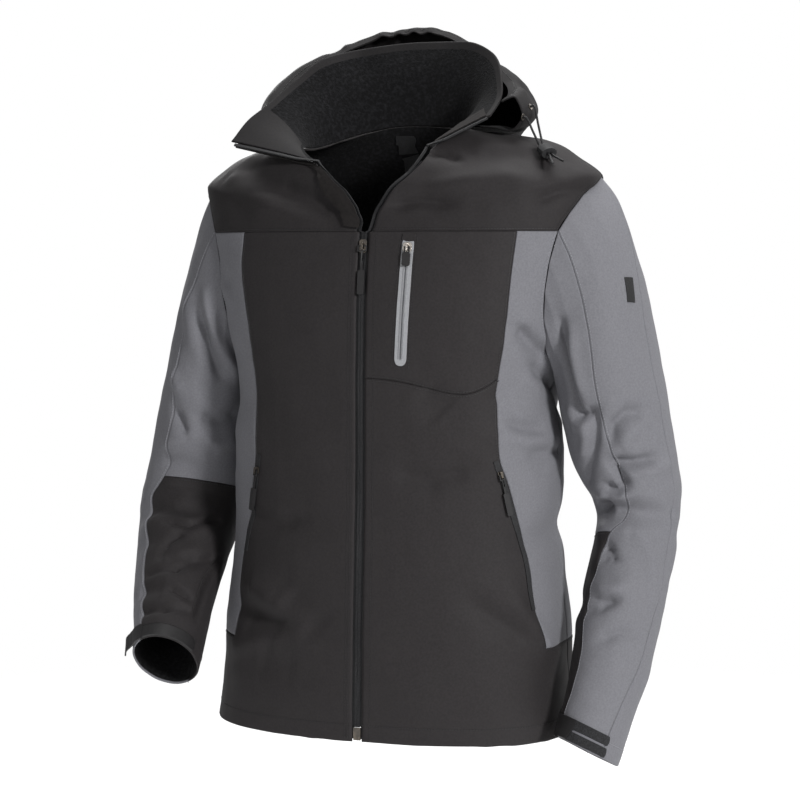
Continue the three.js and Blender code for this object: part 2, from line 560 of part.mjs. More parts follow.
// Angle round the arm of a grid column: 0 outside, 90 front, 180 towards the body, 270 back
function sleeveAngle(section, column) {
  const anchors = [
    [0, section.outer],
    [FRONT_SEAM_COLUMN, section.front],
    [UNDERARM_COLUMN, Math.max(180, section.front + 26)],
    [BACK_SEAM_COLUMN, section.back],
    [SLEEVE_COLUMNS, section.outer + 360],
  ];
  let k = 0;
  while (k < anchors.length - 2 && column > anchors[k + 1][0]) k += 1;
  const [from, start] = anchors[k];
  const [to, end] = anchors[k + 1];
  return lerp(start, end, (column - from) / (to - from));
}

function makeSleeve(side, table, folds) {
  const read = {};
  for (const key of Object.keys(table[0])) read[key] = track(table, 'at', key);
  const last = table.length - 1;
  const frame = (at) => {
    const outer = V(read.ox(at), read.y(at), read.oz(at));
    const inner = V(read.ix(at), read.y(at), read.iz(at));
    const centre = outer.clone().add(inner).multiplyScalar(0.5);
    const across = outer.sub(centre);
    const lean = rad(read.lean(at));
    const forward = V(0, -Math.cos(lean), Math.sin(lean)).multiplyScalar(read.depth(at));
    return { centre, across, forward };
  };
  const tube = (angle, at) => {
    const { centre, across, forward } = frame(at);
    return centre.addScaledVector(across, Math.cos(rad(angle))).addScaledVector(forward, Math.sin(rad(angle)));
  };
  // The first rings ease from the armhole edge of the torso into the arm's own sections
  const blendEnd = 4;
  const armholePoint = (column) => {
    const half = column <= UNDERARM_COLUMN;
    const place = half ? column : SLEEVE_COLUMNS - column;
    const step = Math.min(UNDERARM_COLUMN - 1, Math.floor(place));
    const levelAt = (k) => ARMHOLE_LEVELS[UNDERARM_COLUMN - k];
    const bound = half ? armFront : armBack;
    const edgeAt = (level) => torso(side * bound(level), level);
    const point = edgeAt(levelAt(step)).lerp(edgeAt(levelAt(step + 1)), place - step);
    point.x *= side;
    return point;
  };
  const angleAt = (column, at) => {
    const section = { outer: read.outer(at), front: read.front(at), back: read.back(at) };
    return sleeveAngle(section, ((column % SLEEVE_COLUMNS) + SLEEVE_COLUMNS) % SLEEVE_COLUMNS);
  };
  const plain = (column, at) => {
    const wrapped = ((column % SLEEVE_COLUMNS) + SLEEVE_COLUMNS) % SLEEVE_COLUMNS;
    const point = tube(angleAt(wrapped, at), at);
    if (at >= blendEnd) return point;
    const start = armholePoint(wrapped);
    const error = start.sub(tube(angleAt(wrapped, 0), 0));
    return point.addScaledVector(error, 1 - smooth(at / blendEnd));
  };
  const plainNormal = (column, at) => {
    const up = Math.max(0, at - 0.1);
    const down = Math.min(last, at + 0.1);
    const round = plain(column + 0.15, at).sub(plain(column - 0.15, at));
    const along = plain(column, down).sub(plain(column, up));
    return round.cross(along).normalize();
  };
  const surface = (column, at) => {
    const point = plain(column, at);
    const height = foldHeight(point, folds) * smooth((at - 0.5) / 2);
    return Math.abs(height) < 0.01 ? point : point.addScaledVector(plainNormal(column, at), height);
  };
  const normal = (column, at) => {
    const up = Math.max(0, at - 0.15);
    const down = Math.min(last, at + 0.15);
    const round = surface(column + 0.2, at).sub(surface(column - 0.2, at));
    const along = surface(column, down).sub(surface(column, up));
    return round.cross(along).normalize();
  };
  const mirrored = (make) => (column, at) => {
    const vector = make(column, at);
    vector.x *= side;
    return vector;
  };
  return { point: mirrored(surface), normal: mirrored(normal), angleAt, last, side };
}

const leftSleeve = makeSleeve(1, LEFT_SLEEVE, LEFT_SLEEVE_FOLDS);
const rightSleeve = makeSleeve(-1, RIGHT_SLEEVE, RIGHT_SLEEVE_FOLDS);
const FOREARM_ROW = { left: 11, right: 9 };

function sleeveGrid(sleeve) {
  const stations = Array.from({ length: sleeve.last + 1 }, (_, k) => k);
  return makeGrid(SLEEVE_COLUMNS, stations, (i) => i, sleeve.point, sleeve.normal);
}

function addSleeve(name, grid) {
  // Keeps the first ring's lining edge out of the torso's wall at the armhole seam
  const clearArmhole = (i, j, under) => {
    if (j > 0) return null;
    const outward = grid.points[i][1].clone().sub(grid.points[i][0]).normalize();
    return under.addScaledVector(outward, 1.3);
  };
  const options = { inner: clearArmhole, gap: SLEEVE_GAP };
  const forearm = FOREARM_ROW[name];
  const front = (i) => i < FRONT_SEAM_COLUMN;
  const back = (i) => i >= BACK_SEAM_COLUMN;
  const under = (i) => !front(i) && !back(i);
  addPiece(`sleeve_front_${name}`, clothWall(grid, front, options), 'grey');
  addPiece(`sleeve_back_${name}`, clothWall(grid, back, options), 'grey');
  addPiece(`sleeve_under_${name}`, clothWall(grid, (i, j) => under(i) && j < forearm, options), 'grey');
  addPiece(`sleeve_forearm_${name}`, clothWall(grid, (i, j) => under(i) && j >= forearm, options), 'black');
}

// Collar: top edge by angle round the neck, 0 at the front and 90 at the left
const COLLAR_TOP = [
  { turn: 47, x: 127, y: -60, z: 14, bulge: 3 },
  { turn: 68, x: 131, y: -30, z: 36, bulge: 4 },
  { turn: 95, x: 123, y: -2, z: 67, bulge: 5 },
  { turn: 120, x: 101, y: 32, z: 95, bulge: 6 },
  { turn: 148, x: 62, y: 56, z: 110, bulge: 7 },
  { turn: 180, x: 0, y: 68, z: 112, bulge: 8 },
  { turn: 212, x: -64, y: 58, z: 106, bulge: 7 },
  { turn: 238, x: -108, y: 26, z: 92, bulge: 6 },
  { turn: 258, x: -128, y: -6, z: 66, bulge: 5 },
  { turn: 279, x: -146, y: -38, z: 38, bulge: 5 },
  { turn: 301, x: -166, y: -64, z: 14, bulge: 5 },
  { turn: 322, x: -177, y: -84, z: -10, bulge: 4 },
];
const COLLAR_COLUMNS = 22;
const COLLAR_ROWS = 4;
const COLLAR_GAP = 0.6;
const collarEdge = {};
for (const key of ['x', 'y', 'z', 'bulge']) collarEdge[key] = track(COLLAR_TOP, 'turn', key);
const COLLAR_START = COLLAR_TOP[0].turn;
const COLLAR_END = COLLAR_TOP[COLLAR_TOP.length - 1].turn;

function collarPoint(turn, share) {
  const base = torso(turn, NECK);
  base.z += 0.3 * (1 - share);
  const top = V(collarEdge.x(turn), collarEdge.y(turn), collarEdge.z(turn));
  const out = V(base.x, base.y + 20, 0).normalize();
  const point = base.lerp(top, share);
  point.addScaledVector(out, -collarEdge.bulge(turn) * Math.sin(Math.PI * share));
  return point;
}

function collarNormal(turn, share) {
  const step = 0.04;
  const along = collarPoint(turn + 1, share).sub(collarPoint(turn - 1, share));
  const up = collarPoint(turn, Math.min(1, share + step)).sub(collarPoint(turn, Math.max(0, share - step)));
  return along.cross(up).normalize();
}

function collarGrid() {
  const shares = Array.from({ length: COLLAR_ROWS + 1 }, (_, k) => k / COLLAR_ROWS);
  const turnOf = (i) => lerp(COLLAR_START, COLLAR_END, i / COLLAR_COLUMNS);
  return makeGrid(COLLAR_COLUMNS, shares, turnOf, collarPoint, collarNormal);
}

// Hood, dropped behind the collar: a pouch profile at each angle from the back, positive to the left.
// Radii are measured from the middle of the neck.
const HOOD_SECTIONS = [
  { turn: -90, rootR: 126, rootZ: -6, lowZ: -8, outR: 174, crestR: 160, crestZ: 36 },
  { turn: -74, rootR: 108, rootZ: 4, lowZ: 0, outR: 186, crestR: 164, crestZ: 62 },
  { turn: -50, rootR: 88, rootZ: 12, lowZ: -12, outR: 186, crestR: 150, crestZ: 100 },
  { turn: -24, rootR: 72, rootZ: 16, lowZ: -52, outR: 180, crestR: 132, crestZ: 127 },
  { turn: 0, rootR: 68, rootZ: 18, lowZ: -70, outR: 176, crestR: 126, crestZ: 129 },
  { turn: 24, rootR: 72, rootZ: 16, lowZ: -52, outR: 172, crestR: 124, crestZ: 116 },
  { turn: 46, rootR: 82, rootZ: 13, lowZ: -12, outR: 168, crestR: 130, crestZ: 88 },
  { turn: 66, rootR: 94, rootZ: 9, lowZ: 3, outR: 162, crestR: 138, crestZ: 66 },
  { turn: 84, rootR: 101, rootZ: 6, lowZ: 3, outR: 162, crestR: 144, crestZ: 50 },
  { turn: 100, rootR: 108, rootZ: 4, lowZ: -2, outR: 160, crestR: 148, crestZ: 38 },
];
const HOOD_COLUMNS = 22;
const HOOD_ROWS = 11;
const HOOD_SEAMS = { right: 8, left: 14 };
const HOOD_GAP = 0.6;
const NECK_MIDDLE_Y = -12;
const hoodTable = {};
for (const key of Object.keys(HOOD_SECTIONS[0])) hoodTable[key] = track(HOOD_SECTIONS, 'turn', key);

const HOOD_FOLDS = [
  { width: 12, depth: -6, path: [[-48, 112, 138], [-60, 150, 90], [-50, 160, 30]] },
  { width: 13, depth: -6, path: [[-105, 95, 118], [-130, 125, 60]] },
  { width: 13, depth: -6, path: [[52, 108, 132], [70, 140, 80], [62, 150, 20]] },
  { width: 12, depth: -5, path: [[-175, 60, 80], [-185, 40, 30]] },
  { width: 12, depth: -5, path: [[140, 40, 70], [150, 10, 30]] },
];

// Profile from the neck seam out, down round the pouch and up over the crest to the rim
function plainHood(turn, share) {
  const row = {};
  for (const key of Object.keys(hoodTable)) row[key] = hoodTable[key](turn);
  const middle = (row.rootR + row.outR) / 2;
  const profile = new THREE.SplineCurve([
    new THREE.Vector2(row.rootR, row.rootZ),
    new THREE.Vector2(lerp(row.rootR, middle, 0.6), lerp(row.rootZ, row.lowZ, 0.55) + 2),
    new THREE.Vector2(lerp(middle, row.outR, 0.35), row.lowZ),
    new THREE.Vector2(row.outR - 4, lerp(row.lowZ, row.crestZ, 0.22)),
    new THREE.Vector2(row.outR, lerp(row.lowZ, row.crestZ, 0.5)),
    new THREE.Vector2(lerp(row.outR, row.crestR, 0.45), lerp(row.lowZ, row.crestZ, 0.84)),
    new THREE.Vector2(row.crestR, row.crestZ),
    new THREE.Vector2(row.crestR - 15, row.crestZ - 5),
  ]);
  const flat = profile.getPoint(share);
  const angle = rad(turn);
  return V(flat.x * Math.sin(angle), NECK_MIDDLE_Y + flat.x * Math.cos(angle), flat.y);
}

function plainHoodNormal(turn, share) {
  const step = 0.01;
  const along = plainHood(turn + 0.5, share).sub(plainHood(turn - 0.5, share));
  const up = plainHood(turn, Math.min(1, share + step)).sub(plainHood(turn, Math.max(0, share - step)));
  return along.cross(up).normalize();
}

function hoodPoint(turn, share) {
  const point = plainHood(turn, share);
  const height = foldHeight(point, HOOD_FOLDS);
  return Math.abs(height) < 0.01 ? point : point.addScaledVector(plainHoodNormal(turn, share), -height);
}

function hoodNormal(turn, share) {
  const step = 0.015;
  const along = hoodPoint(turn + 0.7, share).sub(hoodPoint(turn - 0.7, share));
  const up = hoodPoint(turn, Math.min(1, share + step)).sub(hoodPoint(turn, Math.max(0, share - step)));
  return along.cross(up).normalize().negate();
}

function hoodGrid() {
  const shares = Array.from({ length: HOOD_ROWS + 1 }, (_, k) => k / HOOD_ROWS);
  const first = HOOD_SECTIONS[0].turn;
  const last = HOOD_SECTIONS[HOOD_SECTIONS.length - 1].turn;
  const turnOf = (i) => lerp(first, last, i / HOOD_COLUMNS);
  return makeGrid(HOOD_COLUMNS, shares, turnOf, hoodPoint, hoodNormal);
}

function addHood(grid) {
  const options = { gap: HOOD_GAP };
  addPiece('hood_side_right', clothWall(grid, (i) => i < HOOD_SEAMS.right, options), 'black');
  const isCentre = (i) => i >= HOOD_SEAMS.right && i < HOOD_SEAMS.left;
  addPiece('hood_centre', clothWall(grid, isCentre, options), 'black');
  addPiece('hood_side_left', clothWall(grid, (i) => i >= HOOD_SEAMS.left, options), 'black');
}

// Point and normal on the facets of a grid at fractional columns and rows
function onGrid(grid, u, v) {
  const i = clamp(Math.floor(u), 0, grid.columns - 1);
  const j = clamp(Math.floor(v), 0, grid.rows - 1);
  const [s, t] = [u - i, v - j];
  const blend = (field) => {
    const start = grid[field][i][j];
    const bend = s >= t ? grid[field][i + 1][j] : grid[field][i][j + 1];
    const far = grid[field][i + 1][j + 1];
    const value = start.clone().addScaledVector(bend.clone().sub(start), Math.max(s, t));
    return value.addScaledVector(far.clone().sub(bend), Math.min(s, t));
  };
  return { u, v, point: blend('points'), normal: blend('normals').normalize() };
}

// Place on a grid that lies nearest to a named point
function seatOf(grid, target) {
  let best = { u: 0, v: 0, distance: Infinity };
  const scan = (u0, u1, v0, v1, step) => {
    for (let u = u0; u <= u1 + 1e-9; u += step) {
      for (let v = v0; v <= v1 + 1e-9; v += step) {
        const distance = onGrid(grid, u, v).point.distanceTo(target);
        if (distance < best.distance) best = { u, v, distance };
      }
    }
  };
  scan(0, grid.columns, 0, grid.rows, 0.5);
  for (let step = 0.25; step > 0.004; step /= 2) {
    const { u, v } = best;
    const [uLow, uHigh] = [clamp(u - 2 * step, 0, grid.columns), clamp(u + 2 * step, 0, grid.columns)];
    const [vLow, vHigh] = [clamp(v - 2 * step, 0, grid.rows), clamp(v + 2 * step, 0, grid.rows)];
    scan(uLow, uHigh, vLow, vHigh, step);
  }
  return onGrid(grid, best.u, best.v);
}

// Grid of a strip that follows the facets between two seats; half(share) is half its width there.
// A round strip runs round the arm, and free is how far its last end stands off.
function stripGrid(grid, from, to, half, { step = 7, round = false, free = 0 } = {}) {
  const shares = [0, 1];
  const length = from.point.distanceTo(to.point);
  const count = Math.max(1, Math.round(length / step));
  for (let k = 1; k < count; k += 1) shares.push(k / count);
  for (const key of ['u', 'v']) {
    const [low, high] = [Math.min(from[key], to[key]), Math.max(from[key], to[key])];
    for (let k = Math.ceil(low); k <= high; k += 1) {
      if (high - low > 1e-6) shares.push((k - from[key]) / (to[key] - from[key]));
    }
  }
  shares.sort((a, b) => a - b);
  const stations = shares.filter((share, k) => k === 0 || share - shares[k - 1] > 0.004);
  const offsets = [-1, 0, 1];
  const points = offsets.map(() => []);
  const normals = offsets.map(() => []);
  for (const share of stations) {
    const [u, v] = [lerp(from.u, to.u, share), lerp(from.v, to.v, share)];
    const here = onGrid(grid, u, v);
    const reach = 0.05;
    const [us, vs] = [u > reach ? -reach : reach, v > reach ? -reach : reach];
    const alongU = onGrid(grid, u + us, v).point.sub(here.point).divideScalar(us);
    const alongV = onGrid(grid, u, v + vs).point.sub(here.point).divideScalar(vs);
    const line = alongU.clone().multiplyScalar(to.u - from.u).addScaledVector(alongV, to.v - from.v);
    const side = here.normal.clone().cross(line).normalize();
    const [uu, uv, vv] = [alongU.dot(alongU), alongU.dot(alongV), alongV.dot(alongV)];
    const [su, sv] = [side.dot(alongU), side.dot(alongV)];
    const scale = half(share) / (uu * vv - uv * uv);
    const du = round ? 0 : (su * vv - sv * uv) * scale;
    const dv = round ? half(share) / Math.sqrt(vv) : (sv * uu - su * uv) * scale;
    const loose = free * smooth(2 * share - 1);
    offsets.forEach((offset, i) => {
      const place = onGrid(grid, clamp(u + du * offset, 0, grid.columns), clamp(v + dv * offset, 0, grid.rows));
      points[i].push(place.point.addScaledVector(place.normal, loose));
      normals[i].push(place.normal);
    });
  }
  return { columns: offsets.length - 1, rows: stations.length - 1, points, normals };
}

function addStrip(name, grid, ends, half, options, finish, run = {}) {
  const strip = stripGrid(grid, seatOf(grid, ends[0]), seatOf(grid, ends[1]), half, run);
  addPiece(name, clothWall(strip, () => true, { gap: 0, ...options }), finish);
}

// Stations up a free edge of a grid: the edge point, the way into the cloth and the normal
function edgeStations(grid, column, neighbour, rows) {
  return rows.map((v) => {
    const here = onGrid(grid, column, v);
    const inner = onGrid(grid, neighbour, v).point.sub(here.point);
    const step = 0.3;
    const [low, high] = [Math.max(0, v - step), Math.min(grid.rows, v + step)];
    const line = onGrid(grid, column, high).point.sub(onGrid(grid, column, low).point).normalize();
    const inward = inner.addScaledVector(line, -inner.dot(line)).normalize();
    return { ...here, grid, inward };
  });
}

// Stations of a front's edge carried on up the collar's edge, with one on the neck seam between them
function openingStations(side, rows, collarRows, seamSpread = null) {
  const grid = side === 'left' ? leftGrid : rightGrid;
  const [column, neighbour] = side === 'left' ? [0, 1] : [COLLAR_COLUMNS, COLLAR_COLUMNS - 1];
  const body = edgeStations(grid, 0, 1, rows);
  const collar = edgeStations(neckGrid, column, neighbour, collarRows);
  if (seamSpread === null) return [...body, ...collar];
  const below = edgeStations(grid, 0, 1, [rowOf(NECK) - 0.4])[0];
  const above = edgeStations(neckGrid, column, neighbour, [0.3])[0];
  const seam = {
    point: grid.points[0][rowOf(NECK)].clone(),
    normal: below.normal.clone().add(above.normal).normalize(),
    inward: below.inward.clone().add(above.inward).normalize(),
    spread: seamSpread,
  };
  return [...body, seam, ...collar.map((s) => ({ ...s, spread: [0, COLLAR_SPREAD] }))];
}

// Grid of a band beside an edge, at distances into the cloth, negative beyond the edge
function bandGrid(stations, distances) {
  const points = distances.map(() => []);
  const normals = distances.map(() => []);
  for (const station of stations) {
    distances.forEach((distance, i) => {
      const reach = distance + (station.spread ? station.spread[i] : 0);
      let place = { point: station.point.clone().addScaledVector(station.inward, reach), normal: station.normal };
      if (station.grid && reach > 0) place = seatOf(station.grid, place.point);
      points[i].push(place.point);
      normals[i].push(place.normal);
    });
  }
  return { columns: distances.length - 1, rows: stations.length - 1, points, normals };
}

function addBand(name, stations, distances, options, finish) {
  addPiece(name, clothWall(bandGrid(stations, distances), () => true, { gap: 0, ...options }), finish);
}

function solidOf(geometry) {
  const bare = geometry.index ? geometry.toNonIndexed() : geometry.clone();
  bare.deleteAttribute('normal');
  bare.deleteAttribute('uv');
  const merged = mergeVertices(bare, 1e-4);
  return new wasm.Manifold(
    new wasm.Mesh({
      numProp: 3,
      vertProperties: new Float32Array(merged.attributes.position.array),
      triVerts: new Uint32Array(merged.index.array),
    }),
  );
}

function joined(pieces) {
  let solid = solidOf(pieces[0]);
  for (const piece of pieces.slice(1)) solid = solid.add(solidOf(piece));
  const mesh = solid.getMesh();
  return geometryFrom(Array.from(mesh.vertProperties), Array.from(mesh.triVerts));
}

function plate(outline, thickness, hole = null) {
  const shape = new THREE.Shape(outline.map(([x, y]) => new THREE.Vector2(x, y)));
  if (hole) shape.holes.push(new THREE.Path(hole.map(([x, y]) => new THREE.Vector2(x, y))));
  return new THREE.ExtrudeGeometry(shape, { depth: thickness, bevelEnabled: false });
}

// Rectangle centred on y's axis, with its corners cut where cut is given
function rectangle(w, low, high, cut = 0) {
  if (cut === 0) return [[-w / 2, low], [w / 2, low], [w / 2, high], [-w / 2, high]];
  const lower = [[-w / 2 + cut, low], [w / 2 - cut, low], [w / 2, low + cut]];
  const upper = [[w / 2, high - cut], [w / 2 - cut, high], [-w / 2 + cut, high]];
  return [...lower, ...upper, [-w / 2, high - cut], [-w / 2, low + cut]];
}

// Frame of a piece seated on cloth: x across, y up along the cloth, z outward
function seatFrame(point, normal, upward) {
  const up = upward.clone().addScaledVector(normal, -upward.dot(normal)).normalize();
  const across = up.clone().cross(normal);
  return new THREE.Matrix4().makeBasis(across, up, normal).setPosition(point);
}

function addSeated(name, geometry, finish, frame) {
  addPiece(name, geometry, finish).applyMatrix4(frame);
}

// Zip slider with a bail over its top, and the pull whose bar turns in the bail
function addSlider(name, pull, frame, size) {
  const { width, length, height } = size;
  const lift = SEAM_GAP;
  const top = lift + height;
  const body = plate(rectangle(width, -length / 2, length / 2, width * 0.2), height).translate(0, 0, lift);
  const outer = [
    [-BAIL.reach - BAIL.leg, top - 0.4],
    [BAIL.reach + BAIL.leg, top - 0.4],
    [BAIL.reach + BAIL.leg, top + BAIL.room],
    [BAIL.reach, top + BAIL.room + BAIL.leg],
    [-BAIL.reach, top + BAIL.room + BAIL.leg],
    [-BAIL.reach - BAIL.leg, top + BAIL.room],
  ];
  const hole = [
    [-BAIL.reach, top],
    [-BAIL.reach, top + BAIL.room],
    [BAIL.reach, top + BAIL.room],
    [BAIL.reach, top],
  ];
  // The bail's profile is drawn with y and z, then stood up across the slider
  const stand = new THREE.Matrix4().makeBasis(V(0, 1, 0), V(0, 0, 1), V(1, 0, 0));
  const bail = plate(outer, BAIL.width, hole).applyMatrix4(stand).translate(-BAIL.width / 2, 0, 0);
  addSeated(name, joined([body, bail]), 'metal', frame);
  const hinge = V(0, 0, top + BAIL.room / 2).applyMatrix4(frame);
  const normal = V(0, 0, 1).transformDirection(frame);
  const across = V(1, 0, 0).transformDirection(frame);
  // The pull lies from its hinge down to the cloth under its free end
  const toHinge = hinge.clone().sub(pull.rest);
  toHinge.addScaledVector(across, -toHinge.dot(across)).normalize();
  const outward = across.clone().cross(toHinge);
  if (outward.dot(normal) < 0) outward.negate();
  const pullFrame = new THREE.Matrix4().makeBasis(across, toHinge, outward).setPosition(hinge);
  addSeated(pull.name, pull.geometry, pull.finish, pullFrame);
}

// Pull: a loop round the bail's bar, a shank and a tab, hanging down from the hinge at y 0
function pullGeometry({ loopWidth, shankWidth, shankEnd, tabWidth, tabEnd, tabHalf }) {
  const wire = 1.3;
  const inside = -(BAIL.reach + BAIL.leg + 1.1);
  const flat = 2 * BAR_HALF;
  const bar = plate(rectangle(loopWidth, inside - wire, BAR_HALF), flat, [
    [-loopWidth / 2 + wire, inside],
    [-loopWidth / 2 + wire, -BAR_HALF],
    [loopWidth / 2 - wire, -BAR_HALF],
    [loopWidth / 2 - wire, inside],
  ]).translate(0, 0, -BAR_HALF);
  const parts = [bar];
  if (shankEnd < inside) {
    const shank = rectangle(shankWidth, shankEnd - 0.5, inside - wire / 2);
    parts.push(plate(shank, flat).translate(0, 0, -BAR_HALF));
  }
  const tabTop = Math.min(shankEnd, inside - wire / 2);
  const tab = rectangle(tabWidth, tabEnd, tabTop, tabWidth * 0.18);
  parts.push(plate(tab, 2 * tabHalf).translate(0, 0, -tabHalf));
  return joined(parts);
}

const sleeveLeftGrid = sleeveGrid(leftSleeve);
const sleeveRightGrid = sleeveGrid(rightSleeve);
const neckGrid = collarGrid();
const pouchGrid = hoodGrid();

// Where the closed coil ends under the main slider, in rows of the fronts
const rowAt = (level) => {
  const j = ROW_LEVELS.findIndex((value) => value >= level);
  return j - (ROW_LEVELS[j] - level) / (ROW_LEVELS[j] - ROW_LEVELS[j - 1]);
};
const COIL_TOP = -137;
const TEETH_START = -135;
const COLLAR_ROW_STEPS = [1, 2, 3, 3.8];
const BOX_TOP = -664;

function addFrontZip() {
  const closedRows = ROW_LEVELS.slice(1, rowOf(-147) + 1).map((_, k) => k + 1);
  const coilRows = [rowAt(BOX_TOP + 0.4), ...closedRows, rowAt(COIL_TOP)];
  const boxRows = [rowAt(HEM + 2), rowAt(BOX_TOP)];
  const openRows = ROW_LEVELS.slice(rowOf(YOKE), rowOf(NECK)).map((_, k) => rowOf(YOKE) + k);
  const tapeRows = [rowAt(HEM + 3), ...closedRows, ...openRows];
  const teethRows = [rowAt(TEETH_START), ...openRows];
  const reach = FRONT_EDGE - COIL_HALF;
  const centre = (rows) => {
    const left = edgeStations(leftGrid, 0, 1, rows);
    const right = edgeStations(rightGrid, 0, 1, rows);
    return left.map((s, k) => {
      const point = s.point.clone().add(right[k].point).multiplyScalar(0.5);
      const normal = s.normal.clone().add(right[k].normal).normalize();
      return { point, normal, inward: V(1, 0, 0) };
    });
  };
  const coil = { sink: COIL_SINK, thickness: COIL_DEPTH };
  addBand('zip_coil', centre(coilRows), [-COIL_HALF, 0, COIL_HALF], coil, 'tape');
  const boxHalf = COIL_HALF + 1.2;
  addBand('zip_box', centre(boxRows), [-boxHalf, boxHalf], { sink: 0.4, thickness: 1.6 }, 'metal');
  for (const [side, grid] of [['left', leftGrid], ['right', rightGrid]]) {
    const tape = edgeStations(grid, 0, 1, tapeRows);
    const tapeReach = [0.8 - reach, TAPE_WIDTH * 0.45, TAPE_WIDTH - reach];
    addBand(`zip_tape_${side}`, tape, tapeReach, { sink: CLOTH + TAPE_SLACK, thickness: TAPE_CLOTH }, 'tape');
    const teeth = openingStations(side, teethRows, COLLAR_ROW_STEPS, SEAM_SPREAD);
    const half = { sink: COIL_SINK, thickness: COIL_DEPTH };
    addBand(`zip_teeth_${side}`, teeth, [0.25 - FRONT_EDGE, -reach], half, 'tape');
  }
}

// Storm flap along the right edge of the opening, ending as the chin guard at the collar's tip
function addFlap() {
  const start = rowOf(YOKE);
  const rows = [0.4, 1, 2, 3, 4, 5, 6, 7, 7.5].map((k) => start + k);
  const collarRows = [0.7, ...COLLAR_ROW_STEPS];
  const stations = openingStations('right', rows, collarRows);
  // Where the collar folds out over the yoke the flap is gathered in to a narrow waist
  FLAP_WAIST.forEach((share, k) => {
    const narrow = share * FLAP_WIDTH;
    stations[rows.length - 2 + k].spread = [0, 0, -0.5 * narrow, -narrow];
  });
  const distances = [-FLAP_OVERHANG, 0.5, FLAP_WIDTH * 0.5, FLAP_WIDTH];
  addBand('wind_flap', stations, distances, { lift: FLAP_LIFT, thickness: FLAP_CLOTH }, 'facing');
}

function addFacing() {
  const stations = edgeStations(neckGrid, 0, 1, [0.4, ...COLLAR_ROW_STEPS]);
  const options = { sink: COLLAR_CLOTH + 2 * LIFT, thickness: 1 };
  addBand('zip_facing_left', stations, [0.6, 8, 16, 24], options, 'facing');
}

const CHEST_ZIP = { top: V(51.3, -127, -124), bottom: V(46.2, -137.1, -264), half: 6.6, round: 8 };
const CHEST_SLIDER = { at: V(51.8, -127, -131), width: 10, length: 11, height: 1.8 };

function addChestPocket() {
  const length = CHEST_ZIP.top.distanceTo(CHEST_ZIP.bottom);
  const half = (share) => {
    const left = (1 - share) * length;
    const fade = left >= CHEST_ZIP.round ? 1 : Math.sqrt(1 - (1 - left / CHEST_ZIP.round) ** 2);
    return lerp(5.2, CHEST_ZIP.half, share) * Math.max(0.35, fade);
  };
  const ends = [CHEST_ZIP.top, CHEST_ZIP.bottom];
  addStrip('chest_zip', leftGrid, ends, half, { lift: LIFT, thickness: 0.7 }, 'lightGrey');
  const seat = seatOf(leftGrid, CHEST_SLIDER.at);
  const upward = CHEST_ZIP.top.clone().sub(CHEST_ZIP.bottom);
  const onZip = seat.point.clone().addScaledVector(seat.normal, LIFT + 0.7);
  const tabEnd = -21;
  const under = seatOf(leftGrid, seat.point.clone().addScaledVector(upward.normalize(), tabEnd));
  const pull = {
    name: 'chest_pull',
    finish: 'tape',
    rest: under.point.clone().addScaledVector(under.normal, LIFT + 0.7 + 1.4 + 1.0),
    geometry: pullGeometry({
      loopWidth: 6.6, shankWidth: 4, shankEnd: 0, tabWidth: 9, tabEnd, tabHalf: 1.0,
    }),
  };
  addSlider('chest_slider', pull, seatFrame(onZip, seat.normal, upward), CHEST_SLIDER);
}

const MAIN_SLIDER = { level: -130, width: 8.8, length: 15, height: 2.4 };

function addMainSlider() {
  const row = rowAt(MAIN_SLIDER.level);
  const left = edgeStations(leftGrid, 0, 1, [row])[0];
  const right = edgeStations(rightGrid, 0, 1, [row])[0];
  const centre = left.point.clone().add(right.point).multiplyScalar(0.5);
  const normal = left.normal.clone().add(right.normal).normalize();
  const point = centre.clone().addScaledVector(normal, -COIL_SINK);
  const tabEnd = -54;
  const lower = rowAt(MAIN_SLIDER.level + tabEnd);
  const below = edgeStations(leftGrid, 0, 1, [lower])[0].point.clone();
  below.add(edgeStations(rightGrid, 0, 1, [lower])[0].point).multiplyScalar(0.5);
  const pull = {
    name: 'main_pull',
    finish: 'rubber',
    rest: below.addScaledVector(normal, 0.5 + 1.3),
    geometry: pullGeometry({
      loopWidth: 11, shankWidth: 2.6, shankEnd: -27, tabWidth: 8, tabEnd, tabHalf: 1.3,
    }),
  };
  addSlider('main_slider', pull, seatFrame(point, normal, V(0, 0, 1)), MAIN_SLIDER);
}

// Hand pockets: zip laid beside the princess seam, its slider near the top and the pull lying below
const HAND_POCKETS = [
  {
    side: 'left',
    grid: leftGrid,
    top: V(147.5, -104, -366),
    bottom: V(181.5, -80, -533),
    slider: V(150.6, -102, -381),
  },
  {
    side: 'right',
    grid: rightGrid,
    top: V(-131.5, -115, -366),
    bottom: V(-151.5, -105, -478),
    slider: V(-132.5, -114, -384),
  },
];
const HAND_ZIP = { half: 3.2, thickness: 0.8 };
const HAND_SLIDER = { width: 6.2, length: 8, height: 1.5 };

